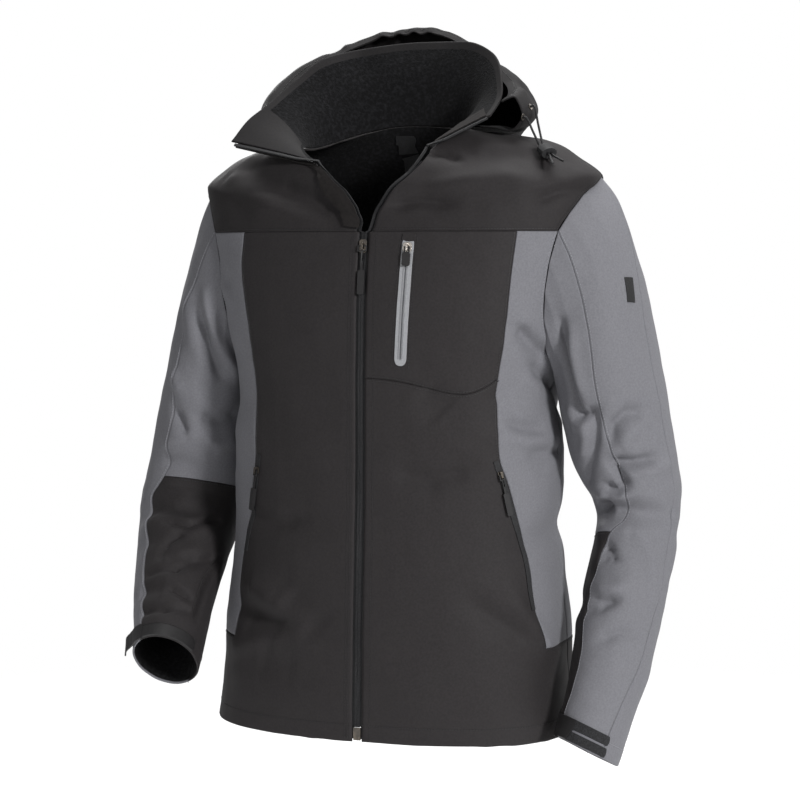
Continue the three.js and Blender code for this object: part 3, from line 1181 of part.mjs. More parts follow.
function addHandPockets() {
  for (const { side, grid, top, bottom, slider } of HAND_POCKETS) {
    const options = { lift: LIFT, thickness: HAND_ZIP.thickness };
    addStrip(`pocket_zip_${side}`, grid, [top, bottom], () => HAND_ZIP.half, options, 'tape');
    const seat = seatOf(grid, slider);
    const upward = top.clone().sub(bottom).normalize();
    const onZip = seat.point.clone().addScaledVector(seat.normal, LIFT + HAND_ZIP.thickness);
    const tabEnd = -47;
    const under = seatOf(grid, seat.point.clone().addScaledVector(upward, tabEnd));
    const pull = {
      name: `pocket_pull_${side}`,
      finish: 'rubber',
      rest: under.point.clone().addScaledVector(under.normal, LIFT + HAND_ZIP.thickness + 0.5 + 1.4),
      geometry: pullGeometry({
        loopWidth: 6, shankWidth: 2.2, shankEnd: -21, tabWidth: 6.4, tabEnd, tabHalf: 1.4,
      }),
    };
    addSlider(`pocket_slider_${side}`, pull, seatFrame(onZip, seat.normal, upward), HAND_SLIDER);
  }
}

// Label and hanger loop inside the back of the neck
const NECK_TRIMS = [
  { name: 'neck_label', top: V(-13, 60, 8), bottom: V(-13, 75, -12), half: 12 },
  { name: 'hanger_loop', top: V(-10, 77, -16), bottom: V(-10, 92, -49), half: 10 },
];

function addNeckTrims() {
  for (const { name, top, bottom, half } of NECK_TRIMS) {
    const options = { sink: CLOTH + LIFT, thickness: 1.0 };
    addStrip(name, rearGrid, [top, bottom], () => half, options, name === 'neck_label' ? 'black' : 'tape');
  }
}

// Patch and cuff closures on the sleeves; free is how far the tab's loose end stands off
const SLEEVE_TRIMS = [
  { name: 'sleeve_patch', from: V(281, -34, -164), to: V(281, -36, -192), half: 6.5, thickness: 0.8, free: 0 },
  { name: 'velcro_upper_left', from: V(231, -107, -653), to: V(271, -109, -668), half: 4, thickness: 0.8, free: 0 },
  { name: 'velcro_lower_left', from: V(228, -110, -668), to: V(262, -118, -684), half: 3.6, thickness: 0.8, free: 0 },
  { name: 'cuff_tab_left', from: V(226, -104, -662), to: V(212, -66, -656), half: 12, thickness: 1.8, free: 0 },
  { name: 'cuff_tab_right', from: V(-238, -180, -572), to: V(-263, -160, -588), half: 11, thickness: 1.8, free: 9 },
];

function addSleeveTrims() {
  for (const { name, from, to, half, thickness, free } of SLEEVE_TRIMS) {
    const grid = name.endsWith('right') ? sleeveRightGrid : sleeveLeftGrid;
    const finish = name.startsWith('cuff') ? 'rubber' : 'tape';
    const run = { round: name !== 'sleeve_patch', free };
    addStrip(name, grid, [from, to], () => half, { lift: LIFT, thickness }, finish, run);
  }
}

// Elastic hood cord: both strands leave their eyelets, run through the toggle and end free
const EYELETS = [V(159.5, -16.3, 27.3), V(156.7, -39.5, 14.7)];
const LOCK_PLACE = { at: V(196, -62, -10), axis: V(0.62, -0.62, -0.48) };

function addHoodCord() {
  const seats = EYELETS.map((target) => seatOf(pouchGrid, target));
  const ring = [
    [EYELET.inner, 0],
    [EYELET.outer, 0],
    [EYELET.outer, EYELET.height],
    [EYELET.inner, EYELET.height],
    [EYELET.inner, 0],
  ].map(([x, y]) => new THREE.Vector2(x, y));
  const axis = LOCK_PLACE.axis.clone().normalize();
  const yokeSeat = seatOf(leftGrid, LOCK_PLACE.at);
  const lockNormal = yokeSeat.normal.clone().addScaledVector(axis, -yokeSeat.normal.dot(axis)).normalize();
  const lockCentre = yokeSeat.point.clone().addScaledVector(yokeSeat.normal, LOCK.short + LOCK.rest);
  const lockAcross = lockNormal.clone().cross(axis).normalize();
  seats.forEach((seat, k) => {
    const lathe = new THREE.LatheGeometry(ring, 12).rotateX(Math.PI / 2);
    const at = seat.point.clone().addScaledVector(seat.normal, LIFT);
    addSeated(`eyelet_${k + 1}`, lathe, 'metal', seatFrame(at, seat.normal, V(0, 0, 1)));
    const sign = k === 0 ? 1 : -1;
    const through = (along) => lockCentre.clone()
      .addScaledVector(lockAcross, (sign * LOCK.spread) / 2)
      .addScaledVector(axis, along);
    const curve = new THREE.CatmullRomCurve3([
      seat.point.clone().addScaledVector(seat.normal, LIFT + 0.3),
      seat.point.clone().addScaledVector(seat.normal, 5),
      seat.point.clone().addScaledVector(seat.normal, 7).lerp(through(-20), 0.5),
      through(-13),
      through(-8),
      through(0),
      through(8),
      through(12),
      through(20).addScaledVector(lockAcross, sign * 2.5),
      through(27 + 3 * k).addScaledVector(lockAcross, sign * 5),
    ]);
    const outline = Array.from({ length: CORD_SIDES }, (_, i) => {
      const angle = ((i + 0.5) / CORD_SIDES) * 2 * Math.PI;
      return new THREE.Vector2(Math.cos(angle), Math.sin(angle)).multiplyScalar(CORD_RADIUS);
    });
    const steps = Math.round(curve.getLength() / (4.4 * CORD_RADIUS));
    const cord = new THREE.ExtrudeGeometry(new THREE.Shape(outline), { steps, extrudePath: curve });
    addPiece(`hood_cord_${k + 1}`, cord, 'tape');
  });
  const body = new THREE.Shape();
  body.absellipse(0, 0, LOCK.long, LOCK.short, 0, 2 * Math.PI);
  for (const sign of [-1, 1]) {
    const bore = new THREE.Path();
    bore.absarc((sign * LOCK.spread) / 2, 0, LOCK.bore, 0, 2 * Math.PI);
    body.holes.push(bore);
  }
  const toggle = new THREE.ExtrudeGeometry(body, { depth: LOCK.depth, bevelEnabled: false, curveSegments: 7 });
  toggle.translate(0, 0, -LOCK.depth / 2);
  const frame = new THREE.Matrix4().makeBasis(lockAcross, axis.clone().cross(lockAcross), axis).setPosition(lockCentre);
  addSeated('cord_lock', toggle, 'rubber', frame);
}

addTorso();
addSleeve('left', sleeveLeftGrid);
addSleeve('right', sleeveRightGrid);
addPiece('collar', clothWall(neckGrid, () => true, { thickness: COLLAR_CLOTH, gap: COLLAR_GAP }), 'black');
addHood(pouchGrid);
addFrontZip();
addFlap();
addFacing();
addChestPocket();
addMainSlider();
addHandPockets();
addNeckTrims();
addSleeveTrims();
addHoodCord();

export default jacket;
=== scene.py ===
# Hooded softshell jacket: cloth shells, zips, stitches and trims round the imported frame. Lengths are in
# millimetres until they become mesh points.
import bpy
import bmesh
import math
import numpy as np
from mathutils import Matrix, Vector
from mathutils.bvhtree import BVHTree


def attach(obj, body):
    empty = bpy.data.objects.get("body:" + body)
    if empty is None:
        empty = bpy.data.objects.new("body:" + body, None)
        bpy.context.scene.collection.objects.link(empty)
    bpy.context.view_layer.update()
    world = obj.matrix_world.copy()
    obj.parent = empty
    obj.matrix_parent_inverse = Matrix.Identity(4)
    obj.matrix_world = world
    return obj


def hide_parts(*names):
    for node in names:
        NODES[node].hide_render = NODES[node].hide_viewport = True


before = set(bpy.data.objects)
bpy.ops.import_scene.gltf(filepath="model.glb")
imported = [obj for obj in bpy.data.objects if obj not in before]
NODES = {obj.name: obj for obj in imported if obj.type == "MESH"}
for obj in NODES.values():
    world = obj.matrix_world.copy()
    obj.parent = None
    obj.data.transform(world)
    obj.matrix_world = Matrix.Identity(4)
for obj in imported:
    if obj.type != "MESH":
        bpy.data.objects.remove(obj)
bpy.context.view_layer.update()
MM = 0.001

# ---------------------------------------------------------------- camera
AZ, EL = math.radians(19.0), math.radians(3.8)
AIM, AWAY = Vector((-0.001, 0.0, -0.308)), 2.42
BACK = Vector((math.sin(AZ) * math.cos(EL), -math.cos(AZ) * math.cos(EL), math.sin(EL)))
camera_data = bpy.data.cameras.new("camera")
camera_data.lens = 93.08
camera_data.sensor_width = 36.0
camera_data.clip_end = 60.0
camera = bpy.data.objects.new("camera", camera_data)
camera.matrix_world = Matrix.Translation(AIM + BACK * AWAY) @ BACK.to_track_quat("Z", "Y").to_matrix().to_4x4()
bpy.context.scene.collection.objects.link(camera)
bpy.context.scene.camera = camera
bpy.context.scene.view_settings.view_transform = "Standard"

# ---------------------------------------------------------------- tables of the form
CLOTH, COLLAR_CLOTH = 2.0, 3.0  # thickness of the walls
FRONT_EDGE = 5.6  # from the middle of the front to each front panel
BODY = dict(
    level=[-680, -640, -600, -560, -500, -450, -400, -350, -305, -275, -230, -160],
    width=[213, 208, 204.5, 203, 196, 193, 194, 194, 187, 189, 200, 215],
    side=[-10, -10, -9, -8, -6, -5, -4, -3, -2, -1, 0, 0],
    front=[-151, -151, -150, -149, -146, -143, -141, -140, -139, -139, -138.5, -133],
    back=[124, 124, 123, 121, 112, 104, 101, 105, 112, 116, 118, 118],
    square=[2.5, 2.5, 2.5, 2.5, 2.45, 2.4, 2.4, 2.45, 2.5, 2.55, 2.6, 2.6],
)
YOKE_RINGS = dict(
    level=[-113, -92, -72, -52, -40, -30, -20, -10, 0],
    lx=[224, 229, 234, 237, 214, 186, 154, 119, 84],
    ly=[0, 1, 3, 5, 5, 4, 2, -2, -6],
    lz=[-113, -92, -71, -51, -31, -13, -5, 0, 4],
    rx=[224, 229, 234, 238, 213, 188, 160, 131, 102],
    ry=[0, 1, 3, 5, 3, -3, -12, -25, -38],
    rz=[-113, -93, -74, -57, -36, -22, -15, -14, -16],
    fy=[-125, -124, -123, -121, -120, -118.5, -117, -115.5, -114],
    fz=[-113, -104, -95, -86, -79, -71.5, -64, -56.5, -49],
    by=[112, 110, 106, 100, 90, 80, 70, 59, 47],
    bz=[-113, -99, -84, -68, -50, -33, -17, -2, 13],
    square=[2.6, 2.45, 2.3, 2.2, 2.2, 2.2, 2.2, 2.2, 2.2],
)
ROWS = np.array([-680, -650, -615, -577, -545, -512, -478, -444, -410, -376, -342, -308, -275,
                 -243, -211, -179, -147, -113, -92, -72, -52, -40, -30, -20, -10, 0], float)
HEM, ARMPIT, YOKE, SHOULDER, NECK = -680, -275, -113, -52, 0
R_FOOT, R_CHEST, R_YOKE, R_SHOULDER, R_NECK = 3, 12, 17, 20, 25  # the same levels as rows
STATIONS = 18  # rows of a sleeve, from the armhole to the cuff
ARMHOLE = dict(level=[-275, -243, -211, -179, -147, -113, -92, -72, -52],
               front=[90, 74, 66.5, 63, 62, 63.7, 68, 76, 90],
               back=[90, 104, 111, 114, 116, 116, 112, 104, 90])
NECK_EDGES = dict(level=[-113, -92, -72, -52, -40, -30, -20, -10, 0],
                  left=[0.9, 1.6, 2.4, 3.6, 5, 7.2, 11.5, 22, 47],
                  right=[0.9, 0.9, 1.8, 3.0, 4.7, 7.2, 12.5, 21, 38])
FRONT_SEAMS = dict(level=[-680, -577, -530, -470, -430, -394, -363, -295, -222, -151, -113],
                   left=[196, 192, 184, 176, 167, 159, 151, 147, 157, 164, 168],
                   right=[170, 166, 162, 155, 147, 141, 137, 137, 145, 155, 153])
LEFT_SLEEVE = dict(
    ox=[237, 255, 271, 284, 294, 303, 311, 318, 324, 328, 328, 325, 321, 316, 310, 305, 295, 287, 280],
    oz=[-51, -73, -108, -152, -200, -248, -293, -335, -372, -404, -433, -462, -495, -531, -569, -606, -640,
        -672, -700],
    ix=[190, 190.8, 191.3, 192, 193.2, 196, 200, 207, 217, 228, 233, 232, 229, 224, 221, 219, 217, 214, 212],
    iz=[-275, -283, -291, -301, -314, -331, -351, -375, -398, -418, -438, -460, -487, -519, -555, -590,
        -624, -652, -673],
    y=[0, 1, 2, 3, 5, 8, 11, 14, 17, 19, 19, 14, 3, -10, -24, -39, -54, -70, -85],
    depth=[66, 68, 70, 72, 73, 72, 70, 66, 61, 57, 56, 55, 54, 52, 50, 48, 46, 44, 43],
    lean=[0, 0, 0, 0, -2, -2, -2, -2, 0, 2, 5, 14, 19, 20, 20, 20, 20, 20, 20],
    outer=[0, 4, 9, 14, 18, 20, 20, 20, 21, 22, 24, 24, 23, 22, 25, 32, 39, 45, 48],
    front=[67.5, 72, 78, 84, 88, 90, 90, 89, 88, 89, 96, 110, 126, 132, 134, 128, 132, 140, 146],
    back=[270, 268, 266, 264, 262, 260, 258, 256, 254, 252, 252, 252, 252, 252, 252, 252, 252, 252, 252],
)
RIGHT_SLEEVE = dict(
    ox=[238, 248, 257, 268, 280, 292, 303, 314, 322, 329, 332, 331, 326, 317, 307, 296, 284, 273, 263],
    oz=[-57, -80, -118, -162, -210, -257, -302, -343, -380, -412, -437, -456, -473, -495, -517, -539, -561,
        -581, -601],
    ix=[190, 190.8, 191.3, 192, 193.2, 196, 198, 199.5, 201, 204, 206, 208, 209, 206, 202, 198, 193, 188, 184],
    iz=[-275, -283, -291, -301, -314, -331, -351, -376, -398, -420, -440, -456, -470, -491, -512, -534,
        -555, -576, -596],
    y=[0, 1, 2, 4, 6, 8, 11, 13, 14, 12, 6, -5, -20, -46, -72, -98, -124, -148, -172],
    depth=[66, 68, 70, 72, 73, 72, 70, 68, 66, 64, 63, 62, 60, 56, 52, 49, 46, 44, 43],
    lean=[0, 0, 0, -2, -2, -2, -2, 0, 2, 12, 25, 38, 49, 50, 50, 50, 50, 50, 50],
    outer=[0] * 19,
    front=[67.5, 66, 64, 63, 66, 69, 72, 74, 75, 74, 70, 65, 60, 58, 58, 58, 58, 58, 58],
    back=[270, 268, 266, 264, 262, 260, 258, 256, 254, 252, 250, 248, 246, 244, 242, 242, 242, 242, 242],
)
COLLAR = dict(
    turn=[47, 68, 95, 120, 148, 180, 212, 238, 258, 279, 301, 322],
    x=[127, 131, 123, 101, 62, 0, -64, -108, -128, -146, -166, -177],
    y=[-60, -30, -2, 32, 56, 68, 58, 26, -6, -38, -64, -84],
    z=[14, 36, 67, 95, 110, 112, 106, 92, 66, 38, 14, -10],
    bulge=[3, 4, 5, 6, 7, 8, 7, 6, 5, 5, 5, 4],
)
HOOD = dict(
    turn=[-90, -74, -50, -24, 0, 24, 46, 66, 84, 100],
    rootR=[126, 108, 88, 72, 68, 72, 82, 94, 101, 108],
    rootZ=[-6, 4, 12, 16, 18, 16, 13, 9, 6, 4],
    lowZ=[-8, 0, -12, -52, -70, -52, -12, 3, 3, -2],
    outR=[174, 186, 186, 180, 176, 172, 168, 162, 162, 160],
    crestR=[160, 164, 150, 132, 126, 124, 130, 138, 144, 148],
    crestZ=[36, 62, 100, 127, 129, 116, 88, 66, 50, 38],
)

# Folds: half width, depth (a trough when negative) and the path through x, y, z
TORSO_FOLDS = [
    (17, -7, [(-185, -60, -25), (-120, -100, -65), (-45, -122, -98)]),
    (13, -4, [(-200, -45, -50), (-150, -92, -92)]),
    (20, 5, [(-190, -60, -45), (-110, -112, -92)]),
    (16, -5, [(120, -80, -25), (190, -50, -32)]),
    (18, -6, [(172, -100, -225), (205, -55, -262)]),
    (15, 5, [(170, -105, -238), (200, -70, -285)]),
    (14, -5, [(170, -108, -325), (200, -45, -332)]),
    (15, -5, [(162, -112, -356), (200, -40, -372)]),
    (18, -6, [(185, -95, -458), (200, 0, -450), (190, 50, -445)]),
    (16, 5, [(170, -118, -520), (188, -105, -548), (205, -75, -568), (210, -30, -605)]),
    (22, -6, [(72, -140, -285), (98, -138, -312)]),
    (24, -6, [(-90, -145, -520), (-40, -150, -560)]),
    (22, -6, [(-150, -120, -548), (-100, -140, -568)]),
    (22, -5, [(-130, -130, -595), (-75, -145, -605)]),
    (20, 5, [(-110, -142, -530), (-60, -148, -560)]),
    (24, -7, [(-200, 20, -455), (-150, 80, -440), (-90, 98, -452)]),
    (24, -7, [(196, 40, -430), (130, 88, -448), (60, 100, -440)]),
    (26, -6, [(-60, 112, -200), (-110, 105, -250), (-150, 85, -300)]),
    (26, -6, [(60, 112, -190), (115, 104, -240), (155, 82, -290)]),
    (24, 5, [(-70, 104, -400), (60, 104, -385)]),
    (24, -5, [(-60, 118, -540), (-150, 100, -560)]),
    (24, -5, [(80, 116, -520), (160, 90, -545)]),
]
LEFT_FOLDS = [
    (15, -6, [(196, -45, -235), (198, -50, -300), (210, -45, -345)]),
    (12, -6, [(305, -25, -330), (290, -50, -345)]),
    (11, -8, [(236, -20, -428), (262, -38, -420), (290, -36, -424), (322, -10, -430)]),
    (13, 6, [(240, -25, -408), (285, -40, -402), (320, -15, -405)]),
    (12, 6, [(238, -25, -446), (285, -38, -448)]),
    (12, -6, [(240, -30, -500), (262, -42, -492), (285, -40, -494)]),
    (11, -5, [(238, -32, -520), (262, -42, -518)]),
    (11, -6, [(225, -25, -532), (255, -44, -534)]),
    (12, -5, [(238, -42, -572), (272, -44, -560)]),
    (14, 5, [(230, -40, -552), (282, -42, -545)]),
    (16, -7, [(250, 75, -400), (300, 65, -430), (325, 30, -450)]),
    (16, 6, [(245, 72, -440), (300, 60, -465)]),
    (14, -5, [(230, 60, -520), (290, 50, -540)]),
]
RIGHT_FOLDS = [
    (16, -7, [(262, -50, -200), (235, -62, -262), (215, -50, -305)]),
    (15, 6, [(255, -62, -178), (245, -66, -225), (222, -58, -290)]),
    (14, 5, [(240, -60, -345), (285, -50, -368)]),
    (13, -6, [(230, -60, -392), (290, -48, -384)]),
    (12, -7, [(222, -60, -440), (262, -72, -436), (300, -60, -444)]),
    (12, 6, [(225, -66, -458), (290, -72, -458)]),
    (11, -6, [(235, -92, -474), (290, -88, -480)]),
    (11, -6, [(212, -100, -492), (262, -122, -484)]),
    (11, -5, [(235, -150, -520), (275, -142, -528)]),
    (16, -7, [(240, 72, -420), (300, 65, -440), (330, 20, -455)]),
    (16, 6, [(235, 60, -470), (300, 50, -480)]),
]
HOOD_FOLDS = [
    (12, -6, [(-48, 112, 138), (-60, 150, 90), (-50, 160, 30)]),
    (13, -6, [(-105, 95, 118), (-130, 125, 60)]),
    (13, -6, [(52, 108, 132), (70, 140, 80), (62, 150, 20)]),
    (12, -5, [(-175, 60, 80), (-185, 40, 30)]),
    (12, -5, [(140, 40, 70), (150, 10, 30)]),
]


def smooth(x):
    t = np.clip(x, 0, 1)
    return t * t * (3 - 2 * t)


def track(xs, ys):
    """Smooth curve without overshoot through a table's column."""
    xs, ys = np.asarray(xs, float), np.asarray(ys, float)
    secant = np.diff(ys) / np.diff(xs)
    slope = np.empty(len(ys))
    slope[0], slope[-1] = secant[0], secant[-1]
    a, b = secant[:-1], secant[1:]
    with np.errstate(divide="ignore", invalid="ignore"):
        slope[1:-1] = np.where(a * b <= 0, 0, 2 * a * b / np.where(a + b == 0, 1, a + b))

    def read(x):
        x = np.asarray(x, float)
        k = np.clip(np.searchsorted(xs, x, side="left") - 1, 0, len(xs) - 2)
        width = xs[k + 1] - xs[k]
        t = np.clip((x - xs[k]) / width, 0, 1)
        t2, t3 = t * t, t * t * t
        return (ys[k] * (2 * t3 - 3 * t2 + 1) + ys[k + 1] * (3 * t2 - 2 * t3)
                + width * (slope[k] * (t3 - 2 * t2 + t) + slope[k + 1] * (t3 - t2)))
    return read


def ring_tracks():
    columns = dict(lx="width", ly="side", lz="level", rx="width", ry="side", rz="level",
                   fy="front", fz="level", by="back", bz="level", square="square")
    level = BODY["level"] + YOKE_RINGS["level"]
    return {key: track(level, BODY[low] + YOKE_RINGS[key]) for key, low in columns.items()}


RING = ring_tracks()
ARM_FRONT = track(ARMHOLE["level"], ARMHOLE["front"])
ARM_BACK = track(ARMHOLE["level"], ARMHOLE["back"])


def stack(x, y, z):
    return np.stack(np.broadcast_arrays(x, y, z), -1)


def plain_torso(theta, level):
    turn = (np.asarray(theta, float) + 180) % 360 - 180
    left = turn >= 0
    sx = np.where(left, RING["lx"](level), RING["rx"](level))
    sy = np.where(left, RING["ly"](level), RING["ry"](level))
    sz = np.where(left, RING["lz"](level), RING["rz"](level))
    back = np.abs(turn) > 90
    ey = np.where(back, RING["by"](level), RING["fy"](level))
    ez = np.where(back, RING["bz"](level), RING["fz"](level))
    power = 2 / RING["square"](level)
    c, s = np.abs(np.cos(np.radians(turn))), np.abs(np.sin(np.radians(turn)))
    return stack(np.where(left, 1, -1) * sx * s ** power, sy + (ey - sy) * c ** power, sz + (ez - sz) * c * c)


def theta_at_x(x, level, back=False):
    width = np.where(np.asarray(x) >= 0, RING["lx"](level), RING["rx"](level))
    s = np.minimum(1, (np.abs(x) / width) ** (RING["square"](level) / 2))
    turn = np.degrees(np.arcsin(s))
    return np.sign(x) * ((180 - turn) if back else turn)


def fold_height(points, folds):
    height = np.zeros(points.shape[:-1])
    for width, depth, path in folds:
        nearest = np.full(height.shape, 1e9)
        along = np.zeros(height.shape)
        count = len(path) - 1
        for k in range(count):
            a, b = np.array(path[k], float), np.array(path[k + 1], float)
            line = b - a
            t = np.clip(((points - a) @ line) / (line @ line), 0, 1)
            distance = np.linalg.norm(points - a - t[..., None] * line, axis=-1)
            closer = distance < nearest
            nearest = np.where(closer, distance, nearest)
            along = np.where(closer, (k + t) / count, along)
        ends = 0.35 + 0.65 * smooth(4 * np.minimum(along, 1 - along) + 0.25)
        height += depth * ends * np.exp(-((nearest / width) ** 2))
    return height


def soft_noise(points, seed, scale, terms=9):
    rng = np.random.default_rng(seed)
    total = np.zeros(points.shape[:-1])
    for _ in range(terms):
        way = rng.normal(size=3)
        way /= np.linalg.norm(way)
        total += np.sin(points @ way * (2 * np.pi / (scale * rng.uniform(0.7, 1.6))) + rng.uniform(0, 6.28))
    return total / math.sqrt(terms)


def unit(v):
    return v / np.maximum(np.linalg.norm(v, axis=-1, keepdims=True), 1e-9)


def normal_of(surface, u, v, du, dv, vmin=-1e9, vmax=1e9):
    along_u = surface(u + du, v) - surface(u - du, v)
    along_v = surface(u, np.minimum(v + dv, vmax)) - surface(u, np.maximum(v - dv, vmin))
    return unit(np.cross(along_u, along_v))


# Hard parts whose seats stay as the solids have them: finer creases fade out round them
SEATS = np.array([(52, -131, -130), (50, -135, -150), (0, -130, -130), (0, -138, -170), (153, -105, -381),
                  (160, -100, -405), (-134, -118, -384), (-134, -118, -410), (188, -50, -24)], float)
SEAT_REACH = 24
TORSO_CREASE, SLEEVE_CREASE = 1.6, 2.1


def fine_height(points, folds, seed, crease):
    """Finer creases than the solids have, each trough sharper at its bottom than a ridge is at its top."""
    sharp = [(max(3.4, 0.5 * width), 0.4 * depth, line) for width, depth, line in folds if depth < 0]
    height = crease * (0.85 * fold_height(points, folds) + fold_height(points, sharp))
    height = height + 0.45 * soft_noise(points, seed, 70) + 0.22 * soft_noise(points, seed + 1, 26)
    clear = np.ones(height.shape)
    for seat in SEATS:
        clear *= 1 - np.exp(-(np.linalg.norm(points - seat, axis=-1) / SEAT_REACH) ** 2)
    return height * clear


def torso(theta, level, fine=True):
    points = plain_torso(theta, level)
    height = fold_height(points, TORSO_FOLDS)
    if fine:
        height = height + fine_height(points, FINE_TORSO, 4, TORSO_CREASE)
    return points + normal_of(plain_torso, theta, level, 0.5, 0.5) * height[..., None]


# Finer creases that the solids leave out
FINE_TORSO = [
    (9, -4.5, [(169, -93, -219), (178, -76, -234), (188, -47, -253)]),
    (8, 3.0, [(166, -97, -208), (179, -82, -217), (189, -55, -237)]),
    (10, -4.0, [(178, -67, -262), (185, -41, -276), (186, 11, -298)]),
    (9, 3.0, [(171, -78, -273), (182, -50, -292)]),
    (7, -3.5, [(158, -92, -323), (171, -76, -330), (183, -51, -333)]),
    (8, 2.5, [(155, -97, -338), (176, -70, -345), (190, -37, -344)]),
    (8, -3.5, [(178, -67, -360), (187, -44, -361), (194, -5, -362)]),
    (7, -2.0, [(147, -102, -295), (155, -95, -289)]),
    (13, 3.5, [(-143, -116, -515), (-124, -126, -520), (-104, -135, -529)]),
    (14, -4.0, [(-160, -107, -544), (-124, -126, -550), (-86, -141, -554)]),
    (13, 3.0, [(-173, -100, -594), (-134, -123, -578), (-97, -137, -569)]),
    (12, -3.0, [(-147, -106, -433), (-107, -127, -441), (-73, -137, -436)]),
    (14, -3.0, [(124, -127, -518), (154, -113, -543), (182, -88, -565)]),
    (12, 3.0, [(164, -100, -515), (181, -87, -545), (200, -61, -586)]),
    (14, -3.0, [(41, -139, -376), (80, -134, -386), (122, -120, -375)]),
    (8, -3.5, [(63, -84, -25), (80, -84, -27), (99, -87, -34)]),
    (10, -3.5, [(34, -120, -84), (62, -117, -79), (96, -113, -82)]),
    (12, 3.0, [(83, -109, -62), (136, -93, -55), (177, -78, -57)]),
    (14, -3.5, [(-112, -97, -60), (-70, -110, -73), (-37, -118, -91)]),
    (14, 4.0, [(-142, -98, -71), (-94, -110, -86), (-48, -120, -105)]),
    (10, -3.0, [(187, -81, -79), (207, -62, -70), (227, -30, -67)]),
    (10, 4.0, [(-196, -40, -135), (-190, -62, -165), (-176, -84, -190)]),
    (9, -4.0, [(-188, -62, -128), (-180, -78, -155), (-172, -88, -178)]),
    (8, -3.0, [(-200, -20, -350), (-180, 40, -345)]),
    (10, -3.5, [(-196, -30, -250), (-198, 15, -262), (-184, 52, -280)]),
    (9, -3.5, [(195, 25, -345), (180, 62, -352)]),
    (10, -3.5, [(192, 10, -300), (185, 48, -322), (160, 78, -335)]),
    (11, -4.0, [(-120, 96, -420), (-40, 101, -432)]),
    (11, 3.0, [(30, 101, -420), (110, 94, -414)]),
    (12, -3.5, [(140, 90, -395), (80, 100, -408), (20, 104, -402)]),
    (11, -3.0, [(-150, 84, -380), (-90, 98, -392)]),
    (12, -3.5, [(-30, 110, -300), (-80, 108, -318), (-130, 95, -330)]),
    (11, -3.0, [(60, 106, -340), (100, 100, -360)]),
    (13, -3.5, [(-110, 108, -150), (-60, 114, -185)]),
    (13, -3.5, [(115, 106, -145), (70, 113, -175)]),
    (14, -3.5, [(-120, 112, -600), (-40, 122, -585)]),
    (14, 3.0, [(40, 122, -600), (130, 108, -615)]),
]
FINE_LEFT = [
    (8, -5.0, [(210, -68, -213), (211, -62, -247), (220, -57, -288), (228, -54, -315)]),
    (8, 3.0, [(220, -69, -222), (223, -65, -255), (232, -62, -294)]),
    (7, -4.0, [(225, -52, -318), (238, -59, -316), (246, -60, -310)]),
    (9, 3.0, [(211, -42, -306), (221, -47, -327), (241, -57, -328)]),
    (8, -4.5, [(248, -60, -314), (245, -54, -344), (232, -26, -391)]),
    (8, 2.5, [(237, -55, -333), (230, -40, -368)]),
    (11, -4.5, [(264, -53, -345), (268, -55, -326), (282, -49, -313), (298, -32, -312)]),
    (11, 3.5, [(271, -50, -350), (286, -44, -337), (302, -26, -337)]),
    (8, -5.0, [(266, -49, -368), (285, -42, -369), (307, -25, -364)]),
    (8, 3.0, [(275, -44, -382), (298, -34, -379), (319, -8, -374)]),
    (6, -4.0, [(264, -47, -373), (272, -45, -382), (280, -42, -392)]),
    (6, -3.5, [(255, -39, -396), (269, -40, -400), (280, -42, -393)]),
    (7, -5.5, [(242, -16, -424), (257, -32, -415)]),
    (9, 3.0, [(246, -31, -405), (261, -35, -412), (279, -41, -404)]),
    (5, -3.5, [(255, -39, -469), (259, -39, -464), (266, -43, -470)]),
    (5, -3.0, [(252, -41, -478), (260, -43, -475), (270, -48, -477)]),
    (6, -3.5, [(243, -52, -520), (258, -61, -522), (271, -60, -519)]),
    (6, -3.0, [(239, -56, -535), (256, -63, -530), (275, -60, -520)]),
    (8, 2.5, [(250, -50, -507), (267, -58, -508), (281, -53, -503)]),
    (9, -2.5, [(259, -77, -563), (279, -69, -554), (298, -53, -560)]),
    (10, 2.5, [(288, -31, -434), (306, -31, -478), (310, -31, -522)]),
    (8, -3.5, [(292, 20, -300), (280, 45, -318), (250, 66, -330)]),
    (8, 3.0, [(310, 20, -380), (280, 62, -400)]),
    (8, -4.0, [(318, 30, -420), (290, 62, -436), (255, 68, -440)]),
    (8, -3.5, [(250, 70, -360), (300, 55, -376)]),
    (8, -3.0, [(240, 60, -250), (232, 55, -300)]),
    (8, -3.0, [(315, 0, -500), (290, 35, -515), (262, 42, -520)]),
    (8, -3.0, [(300, -15, -590), (275, 15, -600)]),
]
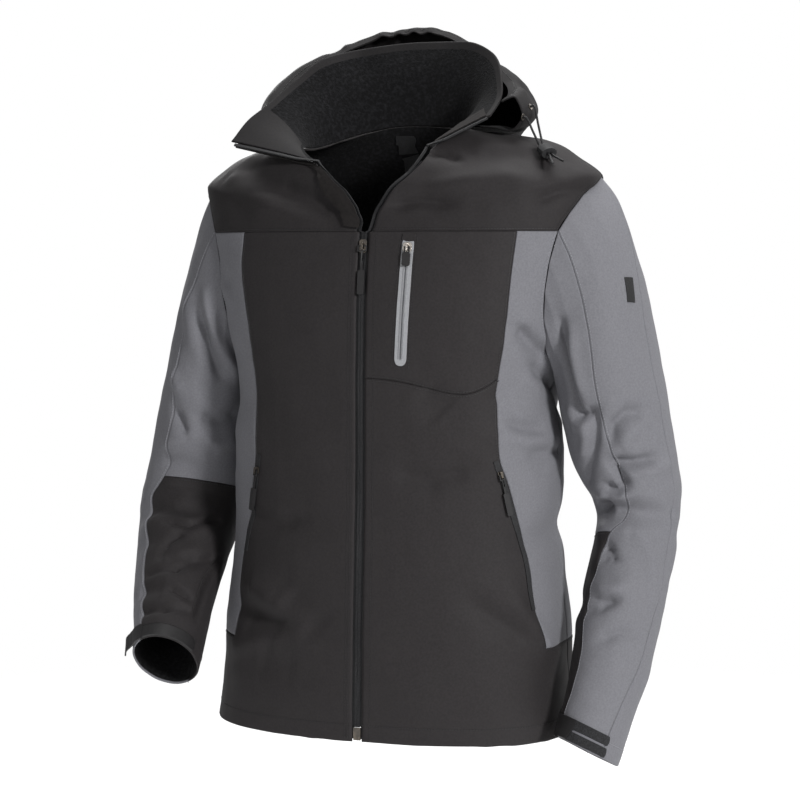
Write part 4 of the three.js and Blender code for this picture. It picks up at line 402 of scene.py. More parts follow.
FINE_RIGHT = [
    (8, 4.0, [(216, -72, -184), (208, -69, -226), (199, -56, -256), (194, -33, -282)]),
    (9, -4.5, [(225, -71, -212), (216, -66, -247), (206, -51, -281)]),
    (12, -3.5, [(232, -55, -331), (213, -41, -334), (198, -12, -326)]),
    (10, 3.0, [(230, -50, -355), (216, -36, -365), (203, -15, -359)]),
    (9, 3.0, [(266, -54, -275), (253, -60, -300)]),
    (8, -3.5, [(262, -56, -322), (256, -58, -336), (249, -58, -350)]),
    (6, -3.5, [(263, -83, -451), (235, -79, -455), (215, -40, -453)]),
    (6, -3.0, [(257, -107, -479), (250, -98, -470), (239, -88, -463)]),
    (6, -4.0, [(264, -130, -509), (231, -126, -500), (207, -79, -494)]),
    (7, 2.5, [(254, -121, -492), (226, -98, -483)]),
    (6, -3.0, [(230, -147, -520), (218, -146, -524), (206, -143, -532)]),
    (6, -3.0, [(254, -167, -547), (225, -170, -541), (203, -155, -543)]),
    (5, -4.0, [(205, -63, -498), (202, -107, -519), (196, -152, -552)]),
    (8, -3.5, [(292, 20, -300), (270, 60, -330)]),
    (8, -3.5, [(250, 70, -360), (300, 55, -376)]),
    (8, 3.0, [(320, 30, -400), (285, 60, -418)]),
    (8, -4.0, [(322, 20, -436), (290, 50, -452), (250, 50, -456)]),
    (8, -3.0, [(310, -30, -500), (285, 5, -512)]),
    (8, -3.0, [(240, 62, -250), (228, 58, -300)]),
]


def sub_values(count, seams, parts):
    """Grid lines over a block's columns or rows, closer beside its seams."""
    values = []
    for k in range(count):
        inner = list(np.linspace(0, 1, parts + 1)[:-1])
        if k in seams:
            inner += [0.045, 0.1]
        if k + 1 in seams:
            inner += [0.9, 0.955]
        values += [k + f for f in sorted(set(round(float(x), 4) for x in inner))]
    return np.array(values + [float(count)])


def grid_quads(nu, nv):
    index = np.arange(nu * nv).reshape(nu, nv)
    return np.stack([index[:-1, :-1], index[1:, :-1], index[1:, 1:], index[:-1, 1:]], -1).reshape(-1, 4)


class Surface:
    """One cut block: a fine grid over fractional columns and rows, and the solids' own coarse grid."""

    def __init__(self, make, columns, rows, column_seams, row_seams, parts):
        self.u = sub_values(columns, column_seams, parts[0])
        self.v = sub_values(rows, row_seams, parts[1])
        self.points, self.normals = make(self.u[:, None], self.v[None, :], True)
        self.coarse = make(np.arange(columns + 1.0)[:, None], np.arange(rows + 1.0)[None, :], False)
        self.quads = grid_quads(len(self.u), len(self.v))
        self.flat_normals = self.normals.reshape(-1, 3)
        self.flat_points = self.points.reshape(-1, 3)
        self.tree = BVHTree.FromPolygons(self.flat_points.tolist(), self.quads.tolist())

    def seat(self, point):
        """Nearest place on the fine cloth to a point, and its smooth normal."""
        place, _, k, _ = self.tree.find_nearest(Vector(point))
        place = np.array(place)
        corners = self.quads[k]
        weight = 1 / (np.linalg.norm(self.flat_points[corners] - place, axis=1) + 0.05) ** 2
        return place, unit((self.flat_normals[corners] * weight[:, None]).sum(0))

    def seats(self, points):
        pairs = [self.seat(p) for p in points]
        return np.array([p for p, _ in pairs]), np.array([n for _, n in pairs])

    def at(self, u, v):
        u, v = np.broadcast_arrays(np.atleast_1d(np.asarray(u, float)), np.atleast_1d(np.asarray(v, float)))
        i = np.clip(np.searchsorted(self.u, u, side="right") - 1, 0, len(self.u) - 2)
        j = np.clip(np.searchsorted(self.v, v, side="right") - 1, 0, len(self.v) - 2)
        s = ((u - self.u[i]) / (self.u[i + 1] - self.u[i]))[..., None]
        t = ((v - self.v[j]) / (self.v[j + 1] - self.v[j]))[..., None]
        out = []
        for f in (self.points, self.normals):
            out.append(f[i, j] * (1 - s) * (1 - t) + f[i + 1, j] * s * (1 - t)
                       + f[i, j + 1] * (1 - s) * t + f[i + 1, j + 1] * s * t)
        return out[0], unit(out[1])


def level_at(rows):
    return np.interp(rows, np.arange(len(ROWS)), ROWS)


def row_at(level):
    return float(np.interp(level, ROWS, np.arange(len(ROWS))))


def in_armhole(level):
    return (level > ARMPIT) & (level < SHOULDER)


def dipped(level, share):
    """The left front's chest seam dips under the chest zip, and the rows beside it follow."""
    near = 1 - np.abs(level - ARMPIT) / 68
    drop = -17 * smooth(near) * np.sin(np.pi * np.clip(share, 0, 1) ** 1.6)
    return np.where(near <= 0, level, level + drop)


def on_torso(theta, level, fine):
    surface = lambda t, z: torso(t, z, fine)
    return surface(theta, level), normal_of(surface, theta, np.minimum(level, NECK - 0.6), 0.6, 0.6)


def front_maker(side):
    key = "left" if side > 0 else "right"
    opening_track = track(NECK_EDGES["level"], NECK_EDGES[key])
    seam_track = track(FRONT_SEAMS["level"], FRONT_SEAMS[key])

    def make(column, row, fine):
        level = level_at(row)
        outer = np.where(in_armhole(level), ARM_FRONT(level), 90)
        blend = smooth((level - YOKE) / (SHOULDER - YOKE))
        low = np.minimum(level, YOKE)
        edge = np.abs(theta_at_x(FRONT_EDGE, level))
        edge = np.where(level >= YOKE, np.maximum(edge, opening_track(level)), edge)
        seam = theta_at_x(seam_track(low), low)
        seam = seam + ((edge + (outer - edge) * 0.62) - seam) * blend
        theta = side * np.where(column <= 6, edge + (seam - edge) * column / 6,
                                seam + (outer - seam) * (column - 6) / 4)
        level = np.broadcast_to(level, theta.shape)
        if side > 0:
            level = np.where(column <= 6, dipped(level, column / 6), level)
        return on_torso(theta, level, fine)
    return make


def back_maker(column, row, fine):
    level = level_at(row)
    outer = np.where(in_armhole(level), ARM_BACK(level), 90)
    low = np.minimum(level, YOKE)
    blend = smooth((level - YOKE) / (SHOULDER - YOKE))
    seam = theta_at_x(150 - 10 * np.clip((level - HEM) / (YOKE - HEM), 0, 1), low, True)
    seam = seam + ((outer + (180 - outer) * 0.38) - seam) * blend
    theta = np.where(column <= 4, outer + (seam - outer) * column / 4,
                     np.where(column >= 13, 360 - seam + (seam - outer) * (column - 13) / 4,
                              seam + (360 - 2 * seam) * (column - 4) / 9))
    return on_torso(theta, np.broadcast_to(level, theta.shape), fine)


def sleeve_maker(side):
    table = LEFT_SLEEVE if side > 0 else RIGHT_SLEEVE
    folds, finer = (LEFT_FOLDS, FINE_LEFT) if side > 0 else (RIGHT_FOLDS, FINE_RIGHT)
    read = {key: track(np.arange(STATIONS + 1), values) for key, values in table.items()}
    levels = ROWS[(ROWS >= ARMPIT) & (ROWS <= SHOULDER)]

    def angle_of(col, station):
        outer, front, back = read["outer"](station), read["front"](station), read["back"](station)
        under = np.maximum(180, front + 26)
        return np.where(col <= 3, outer + (front - outer) * col / 3,
                        np.where(col <= 8, front + (under - front) * (col - 3) / 5,
                                 np.where(col <= 12, under + (back - under) * (col - 8) / 4,
                                          back + (outer + 360 - back) * (col - 12) / 4)))

    def tube(angle, station):
        ox, oz, ix, iz = (read[k](station) for k in ("ox", "oz", "ix", "iz"))
        y, lean, depth = read["y"](station), np.radians(read["lean"](station)), read["depth"](station)
        a, s = np.cos(np.radians(angle)), np.sin(np.radians(angle))
        return stack((ox + ix) / 2 + (ox - ix) / 2 * a, y - np.cos(lean) * depth * s,
                     (oz + iz) / 2 + (oz - iz) / 2 * a + np.sin(lean) * depth * s)

    def make(column, station, fine):
        def armhole(col):
            half = col <= 8
            place = np.where(half, col, 16 - col)
            step = np.minimum(7, np.floor(place)).astype(int)
            ends = []
            for k in (step, step + 1):
                level = levels[8 - k]
                bound = np.where(half, ARM_FRONT(level), ARM_BACK(level))
                ends.append(torso(side * bound, level, fine))
            share = (place - step)[..., None]
            return (ends[0] * (1 - share) + ends[1] * share) * [side, 1, 1]

        def plain(col, at):
            col, at = np.broadcast_arrays(np.mod(col, 16), at)
            points = tube(angle_of(col, at), at)
            error = armhole(col) - tube(angle_of(col, np.zeros_like(at)), np.zeros_like(at))
            return points + error * (1 - smooth(at / 4))[..., None]

        def surface(col, at):
            points = plain(col, at)
            height = fold_height(points, folds) * smooth((at - 0.5) / 2)
            if fine:
                height = height + fine_height(points, finer, 14, SLEEVE_CREASE) * smooth((at - 0.2) / 1.5)
            return points + normal_of(plain, col, at, 0.15, 0.1, 0, STATIONS) * height[..., None]

        column, station = np.broadcast_arrays(column, station)
        column, station = column.astype(float), station.astype(float)
        points = surface(column, station)
        normals = normal_of(surface, column, station, 0.2, 0.15, 0, STATIONS)
        return points * [side, 1, 1], normals * [side, 1, 1]
    return make


COLLAR_READ = {key: track(COLLAR["turn"], COLLAR[key]) for key in ("x", "y", "z", "bulge")}


def collar_maker(column, row, fine):
    turn, share = np.broadcast_arrays(47 + (322 - 47) * column / 22, row / 4)

    def surface(t, s):
        t, s = np.broadcast_arrays(t, s)
        base = torso(t, np.zeros_like(t), False)
        base[..., 2] += 0.3 * (1 - s)
        top = stack(*(COLLAR_READ[k](t) for k in ("x", "y", "z")))
        out = unit(base * [1, 1, 0] + [0, 20, 0])
        points = base + (top - base) * s[..., None]
        points = points - out * (COLLAR_READ["bulge"](t) * np.sin(np.pi * s))[..., None]
        if fine:
            points = points + out * (0.5 * soft_noise(points, 24, 55) * smooth(s * 2))[..., None]
        return points
    return surface(turn, share), normal_of(surface, turn, share, 1, 0.04, 0, 1)


HOOD_READ = {key: track(HOOD["turn"], HOOD[key]) for key in HOOD if key != "turn"}
EYELETS = np.array([159, -28, 21])


def plain_hood(turn, share):
    turn, share = np.broadcast_arrays(turn, share)
    row = {key: f(turn) for key, f in HOOD_READ.items()}
    mid = (row["rootR"] + row["outR"]) / 2
    mix = lambda a, b, t: a + (b - a) * t
    profile = [
        (row["rootR"], row["rootZ"]),
        (mix(row["rootR"], mid, 0.6), mix(row["rootZ"], row["lowZ"], 0.55) + 2),
        (mix(mid, row["outR"], 0.35), row["lowZ"]),
        (row["outR"] - 4, mix(row["lowZ"], row["crestZ"], 0.22)),
        (row["outR"], mix(row["lowZ"], row["crestZ"], 0.5)),
        (mix(row["outR"], row["crestR"], 0.45), mix(row["lowZ"], row["crestZ"], 0.84)),
        (row["crestR"], row["crestZ"]),
        (row["crestR"] - 15, row["crestZ"] - 5),
    ]
    p = 7 * share
    k = np.minimum(np.floor(p).astype(int), 6)
    w = p - k
    flat = []
    for which in (0, 1):
        field = np.stack([q[which] for q in profile], -1)
        pick = lambda n: np.take_along_axis(field, np.clip(n, 0, 7)[..., None], -1)[..., 0]
        p0, p1, p2, p3 = pick(k - 1), pick(k), pick(k + 1), pick(k + 2)
        v0, v1 = (p2 - p0) / 2, (p3 - p1) / 2
        flat.append((2 * p1 - 2 * p2 + v0 + v1) * w ** 3 + (-3 * p1 + 3 * p2 - 2 * v0 - v1) * w ** 2 + v0 * w + p1)
    a = np.radians(turn)
    return stack(flat[0] * np.sin(a), -12 + flat[0] * np.cos(a), flat[1])


def hood_maker(column, row, fine):
    turn, share = np.broadcast_arrays(-90 + 190 * column / 22, row / 11)

    def surface(t, s):
        points = plain_hood(t, s)
        height = fold_height(points, HOOD_FOLDS)
        if fine:
            extra = 1.3 * fold_height(points, FINE_HOOD) + 0.5 * soft_noise(points, 34, 50)
            extra = extra + 0.3 * soft_noise(points, 35, 22)
            # fuller on the right side and, less, at the back
            full = 10 * np.exp(-((t + 62) / 24) ** 2) + 5 * np.exp(-((t + 8) / 26) ** 2)
            extra = extra + smooth((s - 0.4) * 3) * full
            clear = 1 - np.exp(-(np.linalg.norm(points - EYELETS, axis=-1) / 22) ** 2)
            height = height + extra * smooth(s * 5) * clear
        return points - normal_of(plain_hood, t, s, 0.5, 0.01, 0, 1) * height[..., None]
    return surface(turn, share), -normal_of(surface, turn, share, 0.7, 0.015, 0, 1)


FINE_HOOD = [
    (7, -3.0, [(20, 118, 128), (30, 150, 95), (26, 165, 40)]),
    (7, -2.6, [(-20, 122, 132), (-16, 155, 92), (-20, 165, 30)]),
    (8, -2.6, [(-80, 105, 128), (-100, 140, 80), (-105, 140, 20)]),
    (7, -2.6, [(95, 80, 95), (115, 100, 60), (120, 100, 20)]),
    (7, -2.4, [(-150, 70, 98), (-165, 70, 50)]),
    (8, 2.4, [(-135, 85, 105), (-152, 92, 55)]),
    (5, 1.6, [(-56, 90, 125), (-60, 118, 118)]),
    (4, -1.6, [(-46, 94, 126), (-49, 122, 118)]),
    (5, 1.6, [(-36, 96, 127), (-38, 126, 118)]),
    (4, -1.6, [(-27, 98, 127), (-28, 128, 116)]),
    (5, 1.6, [(-17, 98, 127), (-18, 130, 116)]),
    (4, -1.6, [(-8, 100, 127), (-8, 132, 112)]),
    (5, 1.4, [(2, 100, 127), (2, 132, 112)]),
    (5, -1.4, [(14, 100, 127), (15, 130, 112)]),
    (6, 2.4, [(-92, 74, 116), (-104, 100, 105)]),
    (6, -2.4, [(-108, 66, 112), (-122, 92, 100)]),
]

LEFT = Surface(front_maker(1), 10, 25, {0, 6, 10}, {0, R_FOOT, R_CHEST, R_YOKE, R_NECK}, (6, 8))
RIGHT = Surface(front_maker(-1), 10, 25, {0, 6, 10}, {0, R_FOOT, R_YOKE, R_NECK}, (6, 8))
REAR = Surface(back_maker, 17, 25, {0, 4, 13, 17}, {0, R_FOOT, R_YOKE, R_NECK}, (5, 7))
ARM_L = Surface(sleeve_maker(1), 16, STATIONS, {0, 3, 12, 16}, {0, 11, STATIONS}, (9, 12))
ARM_R = Surface(sleeve_maker(-1), 16, STATIONS, {0, 3, 12, 16}, {0, 9, STATIONS}, (9, 12))
FOREARM = ((ARM_L, 11), (ARM_R, 9))  # the row where each forearm panel starts
NECKBAND = Surface(collar_maker, 22, 4, {0, 22}, {0, 4}, (5, 8))
POUCH = Surface(hood_maker, 22, 11, {0, 8, 14, 22}, {0, 11}, (6, 7))


# ---------------------------------------------------------------- meshes
def linked(obj):
    bpy.context.scene.collection.objects.link(obj)
    return obj


def owned(obj, slot_name, body="jacket", stands_for=None):
    if stands_for:
        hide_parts(stands_for)
    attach(obj, body)
    return obj


def new_mesh_object(name, verts, faces, uvs=None, material_index=None, materials=(), smooth_shade=True):
    mesh = bpy.data.meshes.new(name)
    mesh.from_pydata((np.asarray(verts) * MM).tolist(), [], faces)
    for m in materials:
        mesh.materials.append(m)
    if material_index is not None:
        mesh.polygons.foreach_set("material_index", np.asarray(material_index, np.int32))
    if uvs is not None:
        layer = mesh.uv_layers.new(name="cloth")
        index = np.zeros(len(mesh.loops), np.int32)
        mesh.loops.foreach_get("vertex_index", index)
        layer.data.foreach_set("uv", np.asarray(uvs, np.float32)[index].ravel())
    mesh.polygons.foreach_set("use_smooth", np.full(len(mesh.polygons), smooth_shade))
    mesh.validate()
    mesh.update()
    return linked(bpy.data.objects.new(name, mesh))


def solid_from(name, verts, faces, mat, smooth_shade=False):
    """Closed forms with every face turned outwards."""
    obj = new_mesh_object(name, verts, faces, materials=(mat,), smooth_shade=smooth_shade)
    bm = bmesh.new()
    bm.from_mesh(obj.data)
    bmesh.ops.recalc_face_normals(bm, faces=bm.faces)
    bm.to_mesh(obj.data)
    bm.free()
    return obj


def tube_faces(n, start=0):
    """Sides of a strip with n sections of four corners each."""
    corners = [(start + 4 * k + m, start + 4 * k + (m + 1) % 4) for k in range(n - 1) for m in range(4)]
    return [(a, b, b + 4, a + 4) for a, b in corners]


def cell_mask(surface, blocks):
    """Fine cells in any of the blocks, each from its first to before its last column and row."""
    i = np.floor((surface.u[:-1] + surface.u[1:]) / 2)[:, None]
    j = np.floor((surface.v[:-1] + surface.v[1:]) / 2)[None, :]
    return np.any([(i >= a) & (i < b) & (j >= c) & (j < d) for a, b, c, d in blocks], axis=0)


def arc_lengths(points):
    pad = lambda axis: [(1, 0) if k == axis else (0, 0) for k in (0, 1)]
    return [np.pad(np.cumsum(np.linalg.norm(np.diff(points, axis=k), axis=-1), k), pad(k)) for k in (0, 1)]


# At a piece's border: how far the outside sinks, the gap to the next piece, and the inside's lift
GROOVE, SEAM_GAP, RIM_LIFT = 0.8, 0.12, 0.35


def shell(name, surface, blocks, shell_material, lining_material, thickness, turned):
    """Cloth of one cut piece: an outer and an inner face, turned in at every seam and edge."""
    mask = cell_mask(surface, blocks)
    nu, nv = len(surface.u), len(surface.v)
    padded = np.zeros((nu + 1, nv + 1), int)
    padded[1:nu, 1:nv] = mask
    around = padded[:-1, :-1] + padded[1:, :-1] + padded[:-1, 1:] + padded[1:, 1:]
    used = around > 0
    border = used & (around < 4)
    # way from a border vertex into the piece
    centre = np.zeros((nu, nv, 3))
    p = surface.points
    cells = (p[:-1, :-1] + p[1:, :-1] + p[:-1, 1:] + p[1:, 1:]) / 4
    total = np.zeros((nu, nv, 1))
    for a in (0, 1):
        for b in (0, 1):
            centre[a:nu - 1 + a, b:nv - 1 + b] += cells * mask[..., None]
            total[a:nu - 1 + a, b:nv - 1 + b] += mask[..., None]
    into = centre / np.maximum(total, 1) - surface.points
    into /= np.maximum(np.linalg.norm(into, axis=-1, keepdims=True), 1e-9)
    base = surface.points + into * (SEAM_GAP * border)[..., None]
    outer = base - surface.normals * (GROOVE * border)[..., None]
    inner = base - surface.normals * (thickness - RIM_LIFT * border)[..., None]
    index = -np.ones((nu, nv), int)
    index[used] = np.arange(used.sum())
    count = int(used.sum())
    verts = np.concatenate([outer[used], inner[used]])
    du, dv = arc_lengths(surface.points)
    uv = np.stack([du, dv], -1)[used] * MM
    uvs = np.concatenate([uv, uv])
    i, j = np.nonzero(mask)
    a, b, c, d = index[i, j], index[i + 1, j], index[i + 1, j + 1], index[i, j + 1]
    mid_i, mid_j = i[len(i) // 2], j[len(j) // 2]
    across = surface.points[mid_i + 1, mid_j] - surface.points[mid_i, mid_j]
    up = surface.points[mid_i, mid_j + 1] - surface.points[mid_i, mid_j]
    forward = np.dot(np.cross(across, up), surface.normals[mid_i, mid_j]) > 0
    top = np.stack([a, b, c, d], 1) if forward else np.stack([a, d, c, b], 1)
    under = (np.stack([a, d, c, b], 1) if forward else np.stack([a, b, c, d], 1)) + count
    rim = []
    for di, dj, first, last in ((0, -1, a, b), (1, 0, b, c), (0, 1, c, d), (-1, 0, d, a)):
        outside = padded[i + 1 + di, j + 1 + dj] == 0
        first, last = first[outside], last[outside]
        face = np.stack([last, first, first + count, last + count], 1)
        rim.append(face if forward else face[:, ::-1])
    rim = np.concatenate(rim)
    faces = np.concatenate([top, under, rim])
    lining = np.ones(len(under))
    lining[turned((surface.u[i] + surface.u[i + 1]) / 2, (surface.v[j] + surface.v[j + 1]) / 2)] = 0
    kinds = np.concatenate([np.zeros(len(top)), lining, np.zeros(len(rim))]).astype(int)
    return new_mesh_object(name, verts, faces.tolist(), uvs, kinds, (shell_material, lining_material))


# ---------------------------------------------------------------- materials
def linear(rgb):
    return tuple((c / 12.92 if c <= 0.04045 else ((c + 0.055) / 1.055) ** 2.4) for c in (v / 255 for v in rgb)) + (1,)


def material(name, rgb, roughness, other, mottle, share, grain, bump, depth, metallic=0.0, sheen=0.0, specular=0.5):
    """Two near colours mixed by a soft noise, with a finer grain as bump."""
    m = bpy.data.materials.new(name)
    m.use_nodes = True
    tree = m.node_tree
    nodes, links = tree.nodes, tree.links
    shader = nodes["Principled BSDF"]
    where = nodes.new("ShaderNodeTexCoord")

    def node(kind, **values):
        made = nodes.new("ShaderNode" + kind)
        for key, value in values.items():
            made.inputs[key].default_value = value
        return made

    for key, value in (("Roughness", roughness), ("Metallic", metallic), ("Sheen Weight", sheen),
                       ("Sheen Roughness", 0.5), ("Specular IOR Level", specular)):
        shader.inputs[key].default_value = value
    spots = node("TexNoise", Scale=mottle, Detail=3.0)
    fine = node("TexNoise", Scale=grain, Detail=2.0)
    relief = node("Bump", Strength=bump, Distance=depth)
    ramp = node("ValToRGB")
    for k, sign, colour in ((0, -1, rgb), (1, 1, other)):
        ramp.color_ramp.elements[k].position = share + sign * 0.16
        ramp.color_ramp.elements[k].color = linear(colour)
    for noise in (spots, fine):
        links.new(where.outputs["Object"], noise.inputs["Vector"])
    links.new(spots.outputs["Fac"], ramp.inputs["Fac"])
    links.new(ramp.outputs["Color"], shader.inputs["Base Color"])
    links.new(fine.outputs["Fac"], relief.inputs["Height"])
    links.new(relief.outputs["Normal"], shader.inputs["Normal"])
    m.diffuse_color = linear(rgb)
    return m


def shell_cloth(name, rgb, roughness, other, mottle=420, grain=1500, bump=0.22, sheen=0.03, specular=0.3):
    return material(name, rgb, roughness, other, mottle, 0.5, grain, bump, 0.0005, sheen=sheen, specular=specular)


def metal(name, rgb, roughness, other):
    return material(name, rgb, roughness, other, 160, 0.5, 700, 0.06, 0.0002, metallic=0.95)


def thread(name, rgb, other):
    return material(name, rgb, 0.6, other, 900, 0.5, 1800, 0.3, 0.0003)


BLACK = shell_cloth("black_shell", (36, 33, 34), 0.72, (42, 39, 40))
YOKE_M = shell_cloth("yoke_shell", (33, 30, 31), 0.74, (39, 36, 37))
GREY = shell_cloth("grey_shell", (108, 108, 113), 0.78, (118, 118, 123), 520, 1600, 0.25, 0.04, 0.35)
COLLAR_M = shell_cloth("collar_shell", (21, 19, 20), 0.76, (27, 25, 26), sheen=0.02, specular=0.25)
FACING = shell_cloth("facing_black", (26, 23, 23), 0.8, (33, 30, 29), 300, 1400, 0.2, sheen=0.0)
FLEECE = material("black_fleece", (17, 17, 18), 0.95, (33, 33, 35), 260, 0.6, 460, 0.6, 0.0014, sheen=0.02,
                  specular=0.15)
LIGHT = material("light_zip_tape", (146, 147, 151), 0.7, (160, 161, 164), 700, 0.5, 1400, 0.2, 0.0004)
# Dark grey for the strip down the chest zip's middle, in the groove between its teeth rows: painted shade, not a
# colour of the zip
ZIP_GROOVE_SHADE = material("light_zip_groove_shade", (62, 63, 66), 0.7, (84, 85, 88), 500, 0.5, 1400, 0.2, 0.0004)
TAPE = material("zip_tape", (20, 20, 22), 0.75, (36, 36, 38), 600, 0.5, 1500, 0.3, 0.0005)
TEETH = material("zip_teeth", (19, 19, 21), 0.38, (34, 34, 37), 500, 0.5, 900, 0.1, 0.0002)
TRIM = material("trim_tape", (20, 20, 21), 0.72, (32, 32, 34), 500, 0.5, 1300, 0.4, 0.0006)
HOOKS = material("hook_tape", (12, 12, 13), 0.85, (44, 44, 47), 700, 0.5, 1300, 0.9, 0.0012)
CORD = material("cord", (12, 12, 13), 0.6, (26, 26, 28), 900, 0.5, 1600, 0.5, 0.0006)
RUBBER = material("black_rubber", (26, 25, 26), 0.55, (31, 30, 31), 240, 0.5, 900, 0.12, 0.0003)
METAL = metal("dark_metal", (96, 92, 88), 0.34, (120, 112, 102))
BRIGHT = metal("bright_metal", (186, 178, 170), 0.28, (206, 200, 192))
THREAD = thread("black_thread", (30, 29, 30), (46, 45, 46))
DARK_THREAD = thread("dark_thread", (27, 26, 27), (38, 37, 38))
GREY_THREAD = thread("grey_thread", (126, 126, 131), (146, 146, 151))


# ---------------------------------------------------------------- cloth pieces
# Where the shell cloth is turned to the inside: hem, cuffs, collar edge and right collar tip, hood rim
HEM_ROW = row_at(-661)
CUFF_TURN, HOOD_TURN = 17.93, 8.0
TURNED = {id(s): (lambda u, v: v < HEM_ROW) for s in (LEFT, RIGHT, REAR)}
TURNED.update({id(s): (lambda u, v: v > CUFF_TURN) for s in (ARM_L, ARM_R)})
TURNED[id(NECKBAND)] = lambda u, v: (v > 3.66) | ((u > 19.0) & (v > 0.4))
TURNED[id(POUCH)] = lambda u, v: v > HOOD_TURN

# A block is: first column, last column, first row, last row
MIDDLE, TOP = (R_FOOT, R_YOKE), (R_YOKE, R_NECK)
PIECE_TABLE = [
    ("front_left_chest", LEFT, [(0, 6, R_CHEST, R_YOKE)], BLACK, "black_shell"),
    ("front_left_lower", LEFT, [(0, 6, 0, R_CHEST), (6, 10, 0, R_FOOT)], BLACK, "black_shell"),
    ("side_front_left", LEFT, [(6, 10, *MIDDLE)], GREY, "grey_shell"),
    ("yoke_front_left", LEFT, [(0, 10, *TOP)], YOKE_M, "yoke_shell"),
    ("front_right", RIGHT, [(0, 6, 0, R_YOKE), (6, 10, 0, R_FOOT)], BLACK, "black_shell"),
    ("side_front_right", RIGHT, [(6, 10, *MIDDLE)], GREY, "grey_shell"),
    ("yoke_front_right", RIGHT, [(0, 10, *TOP)], YOKE_M, "yoke_shell"),
    ("side_back_left", REAR, [(0, 4, *MIDDLE)], GREY, "grey_shell"),
    ("side_back_right", REAR, [(13, 17, *MIDDLE)], GREY, "grey_shell"),
    ("yoke_back", REAR, [(0, 17, *TOP)], YOKE_M, "yoke_shell"),
    ("back", REAR, [(4, 13, 0, R_YOKE), (0, 17, 0, R_FOOT)], BLACK, "black_shell"),
]
for name, (surface, forearm) in zip(("left", "right"), FOREARM):
    PIECE_TABLE += [
        ("sleeve_front_" + name, surface, [(0, 3, 0, STATIONS)], GREY, "grey_shell"),
        ("sleeve_back_" + name, surface, [(12, 16, 0, STATIONS)], GREY, "grey_shell"),
        ("sleeve_under_" + name, surface, [(3, 12, 0, forearm)], GREY, "grey_shell"),
        ("sleeve_forearm_" + name, surface, [(3, 12, forearm, STATIONS)], BLACK, "black_shell"),
    ]
PIECE_TABLE += [
    ("collar", NECKBAND, [(0, 22, 0, 4)], COLLAR_M, "black_shell"),
    ("hood_side_right", POUCH, [(0, 8, 0, 11)], COLLAR_M, "black_shell"),
    ("hood_centre", POUCH, [(8, 14, 0, 11)], COLLAR_M, "black_shell"),
    ("hood_side_left", POUCH, [(14, 22, 0, 11)], COLLAR_M, "black_shell"),
]


def flat_cut(surface, blocks):
    """Width, length and area of a piece laid flat, in metres, from the arc lengths of its grid."""
    mask = cell_mask(surface, blocks)
    p = surface.points
    du = np.linalg.norm(np.diff(p, axis=0), axis=-1)
    dv = np.linalg.norm(np.diff(p, axis=1), axis=-1)
    width = (du[:, :-1] * mask).sum(0).max() * MM
    length = (dv[:-1] * mask).sum(1).max() * MM
    cross = np.cross(p[1:, 1:] - p[:-1, :-1], p[:-1, 1:] - p[1:, :-1])
    area = (np.linalg.norm(cross, axis=-1) / 2 * mask).sum() * MM * MM
    return width, length, min(area, width * length)


for name, surface, blocks, outside, slot_name in PIECE_TABLE:
    thickness = COLLAR_CLOTH if name == "collar" else CLOTH
    obj = shell(name + "_cloth", surface, blocks, outside, FLEECE, thickness, TURNED[id(surface)])
    owned(obj, slot_name, stands_for=name)


# ---------------------------------------------------------------- trims laid on the cloth
class Coarse:
    """Facets of a block as the solids have them, to carry a trim over onto the fine cloth."""

    def __init__(self, surface):
        points = surface.coarse[0]
        self.fine = surface
        nu, nv = points.shape[:2]
        quads = grid_quads(nu, nv)
        self.tris = np.concatenate([quads[:, :3], quads[:, [0, 2, 3]]])
        self.flat = points.reshape(-1, 3)
        uu, vv = np.meshgrid(np.arange(nu), np.arange(nv), indexing="ij")
        self.uv = np.stack([uu, vv], -1).reshape(-1, 2).astype(float)
        self.tree = BVHTree.FromPolygons(self.flat.tolist(), self.tris.tolist())

    def place(self, vertex):
        spot, _, k, distance = self.tree.find_nearest(Vector(vertex))
        spot = np.array(spot)
        a, b, c = self.flat[self.tris[k]]
        e1, e2, r = b - a, c - a, spot - a
        m = np.array([[e1 @ e1, e1 @ e2], [e1 @ e2, e2 @ e2]])
        w1, w2 = np.linalg.solve(m, [e1 @ r, e2 @ r])
        ua, ub, uc = self.uv[self.tris[k]]
        u, v = ua + w1 * (ub - ua) + w2 * (uc - ua)
        return distance, u, v, np.array(vertex) - spot


BLOCKS = dict(left=LEFT, right=RIGHT, rear=REAR, arm_l=ARM_L, arm_r=ARM_R, neck=NECKBAND)
COARSE = {key: Coarse(surface) for key, surface in BLOCKS.items()}


def shaded(obj, angle=38):
    bm = bmesh.new()
    bm.from_mesh(obj.data)
    for face in bm.faces:
        face.smooth = True
    for edge in bm.edges:
        edge.smooth = len(edge.link_faces) == 2 and edge.calc_face_angle(0) < math.radians(angle)
    bm.to_mesh(obj.data)
    bm.free()
    return obj


def copy_node(node, mat, step=None):
    """A copy of a solid's mesh in its own material, its long edges divided."""
    bm = bmesh.new()
    bm.from_mesh(NODES[node].data)
    bmesh.ops.remove_doubles(bm, verts=bm.verts, dist=1e-6)
    if step:
        for _ in range(4):
            long = [e for e in bm.edges if e.calc_length() > step * MM]
            if not long:
                break
            bmesh.ops.subdivide_edges(bm, edges=long, cuts=1, use_grid_fill=True)
        bmesh.ops.triangulate(bm, faces=[f for f in bm.faces if len(f.verts) > 4])
    mesh = bpy.data.meshes.new(node + "_form")
    bm.to_mesh(mesh)
    bm.free()
    mesh.materials.clear()
    mesh.materials.append(mat)
    return linked(bpy.data.objects.new(node + "_form", mesh))


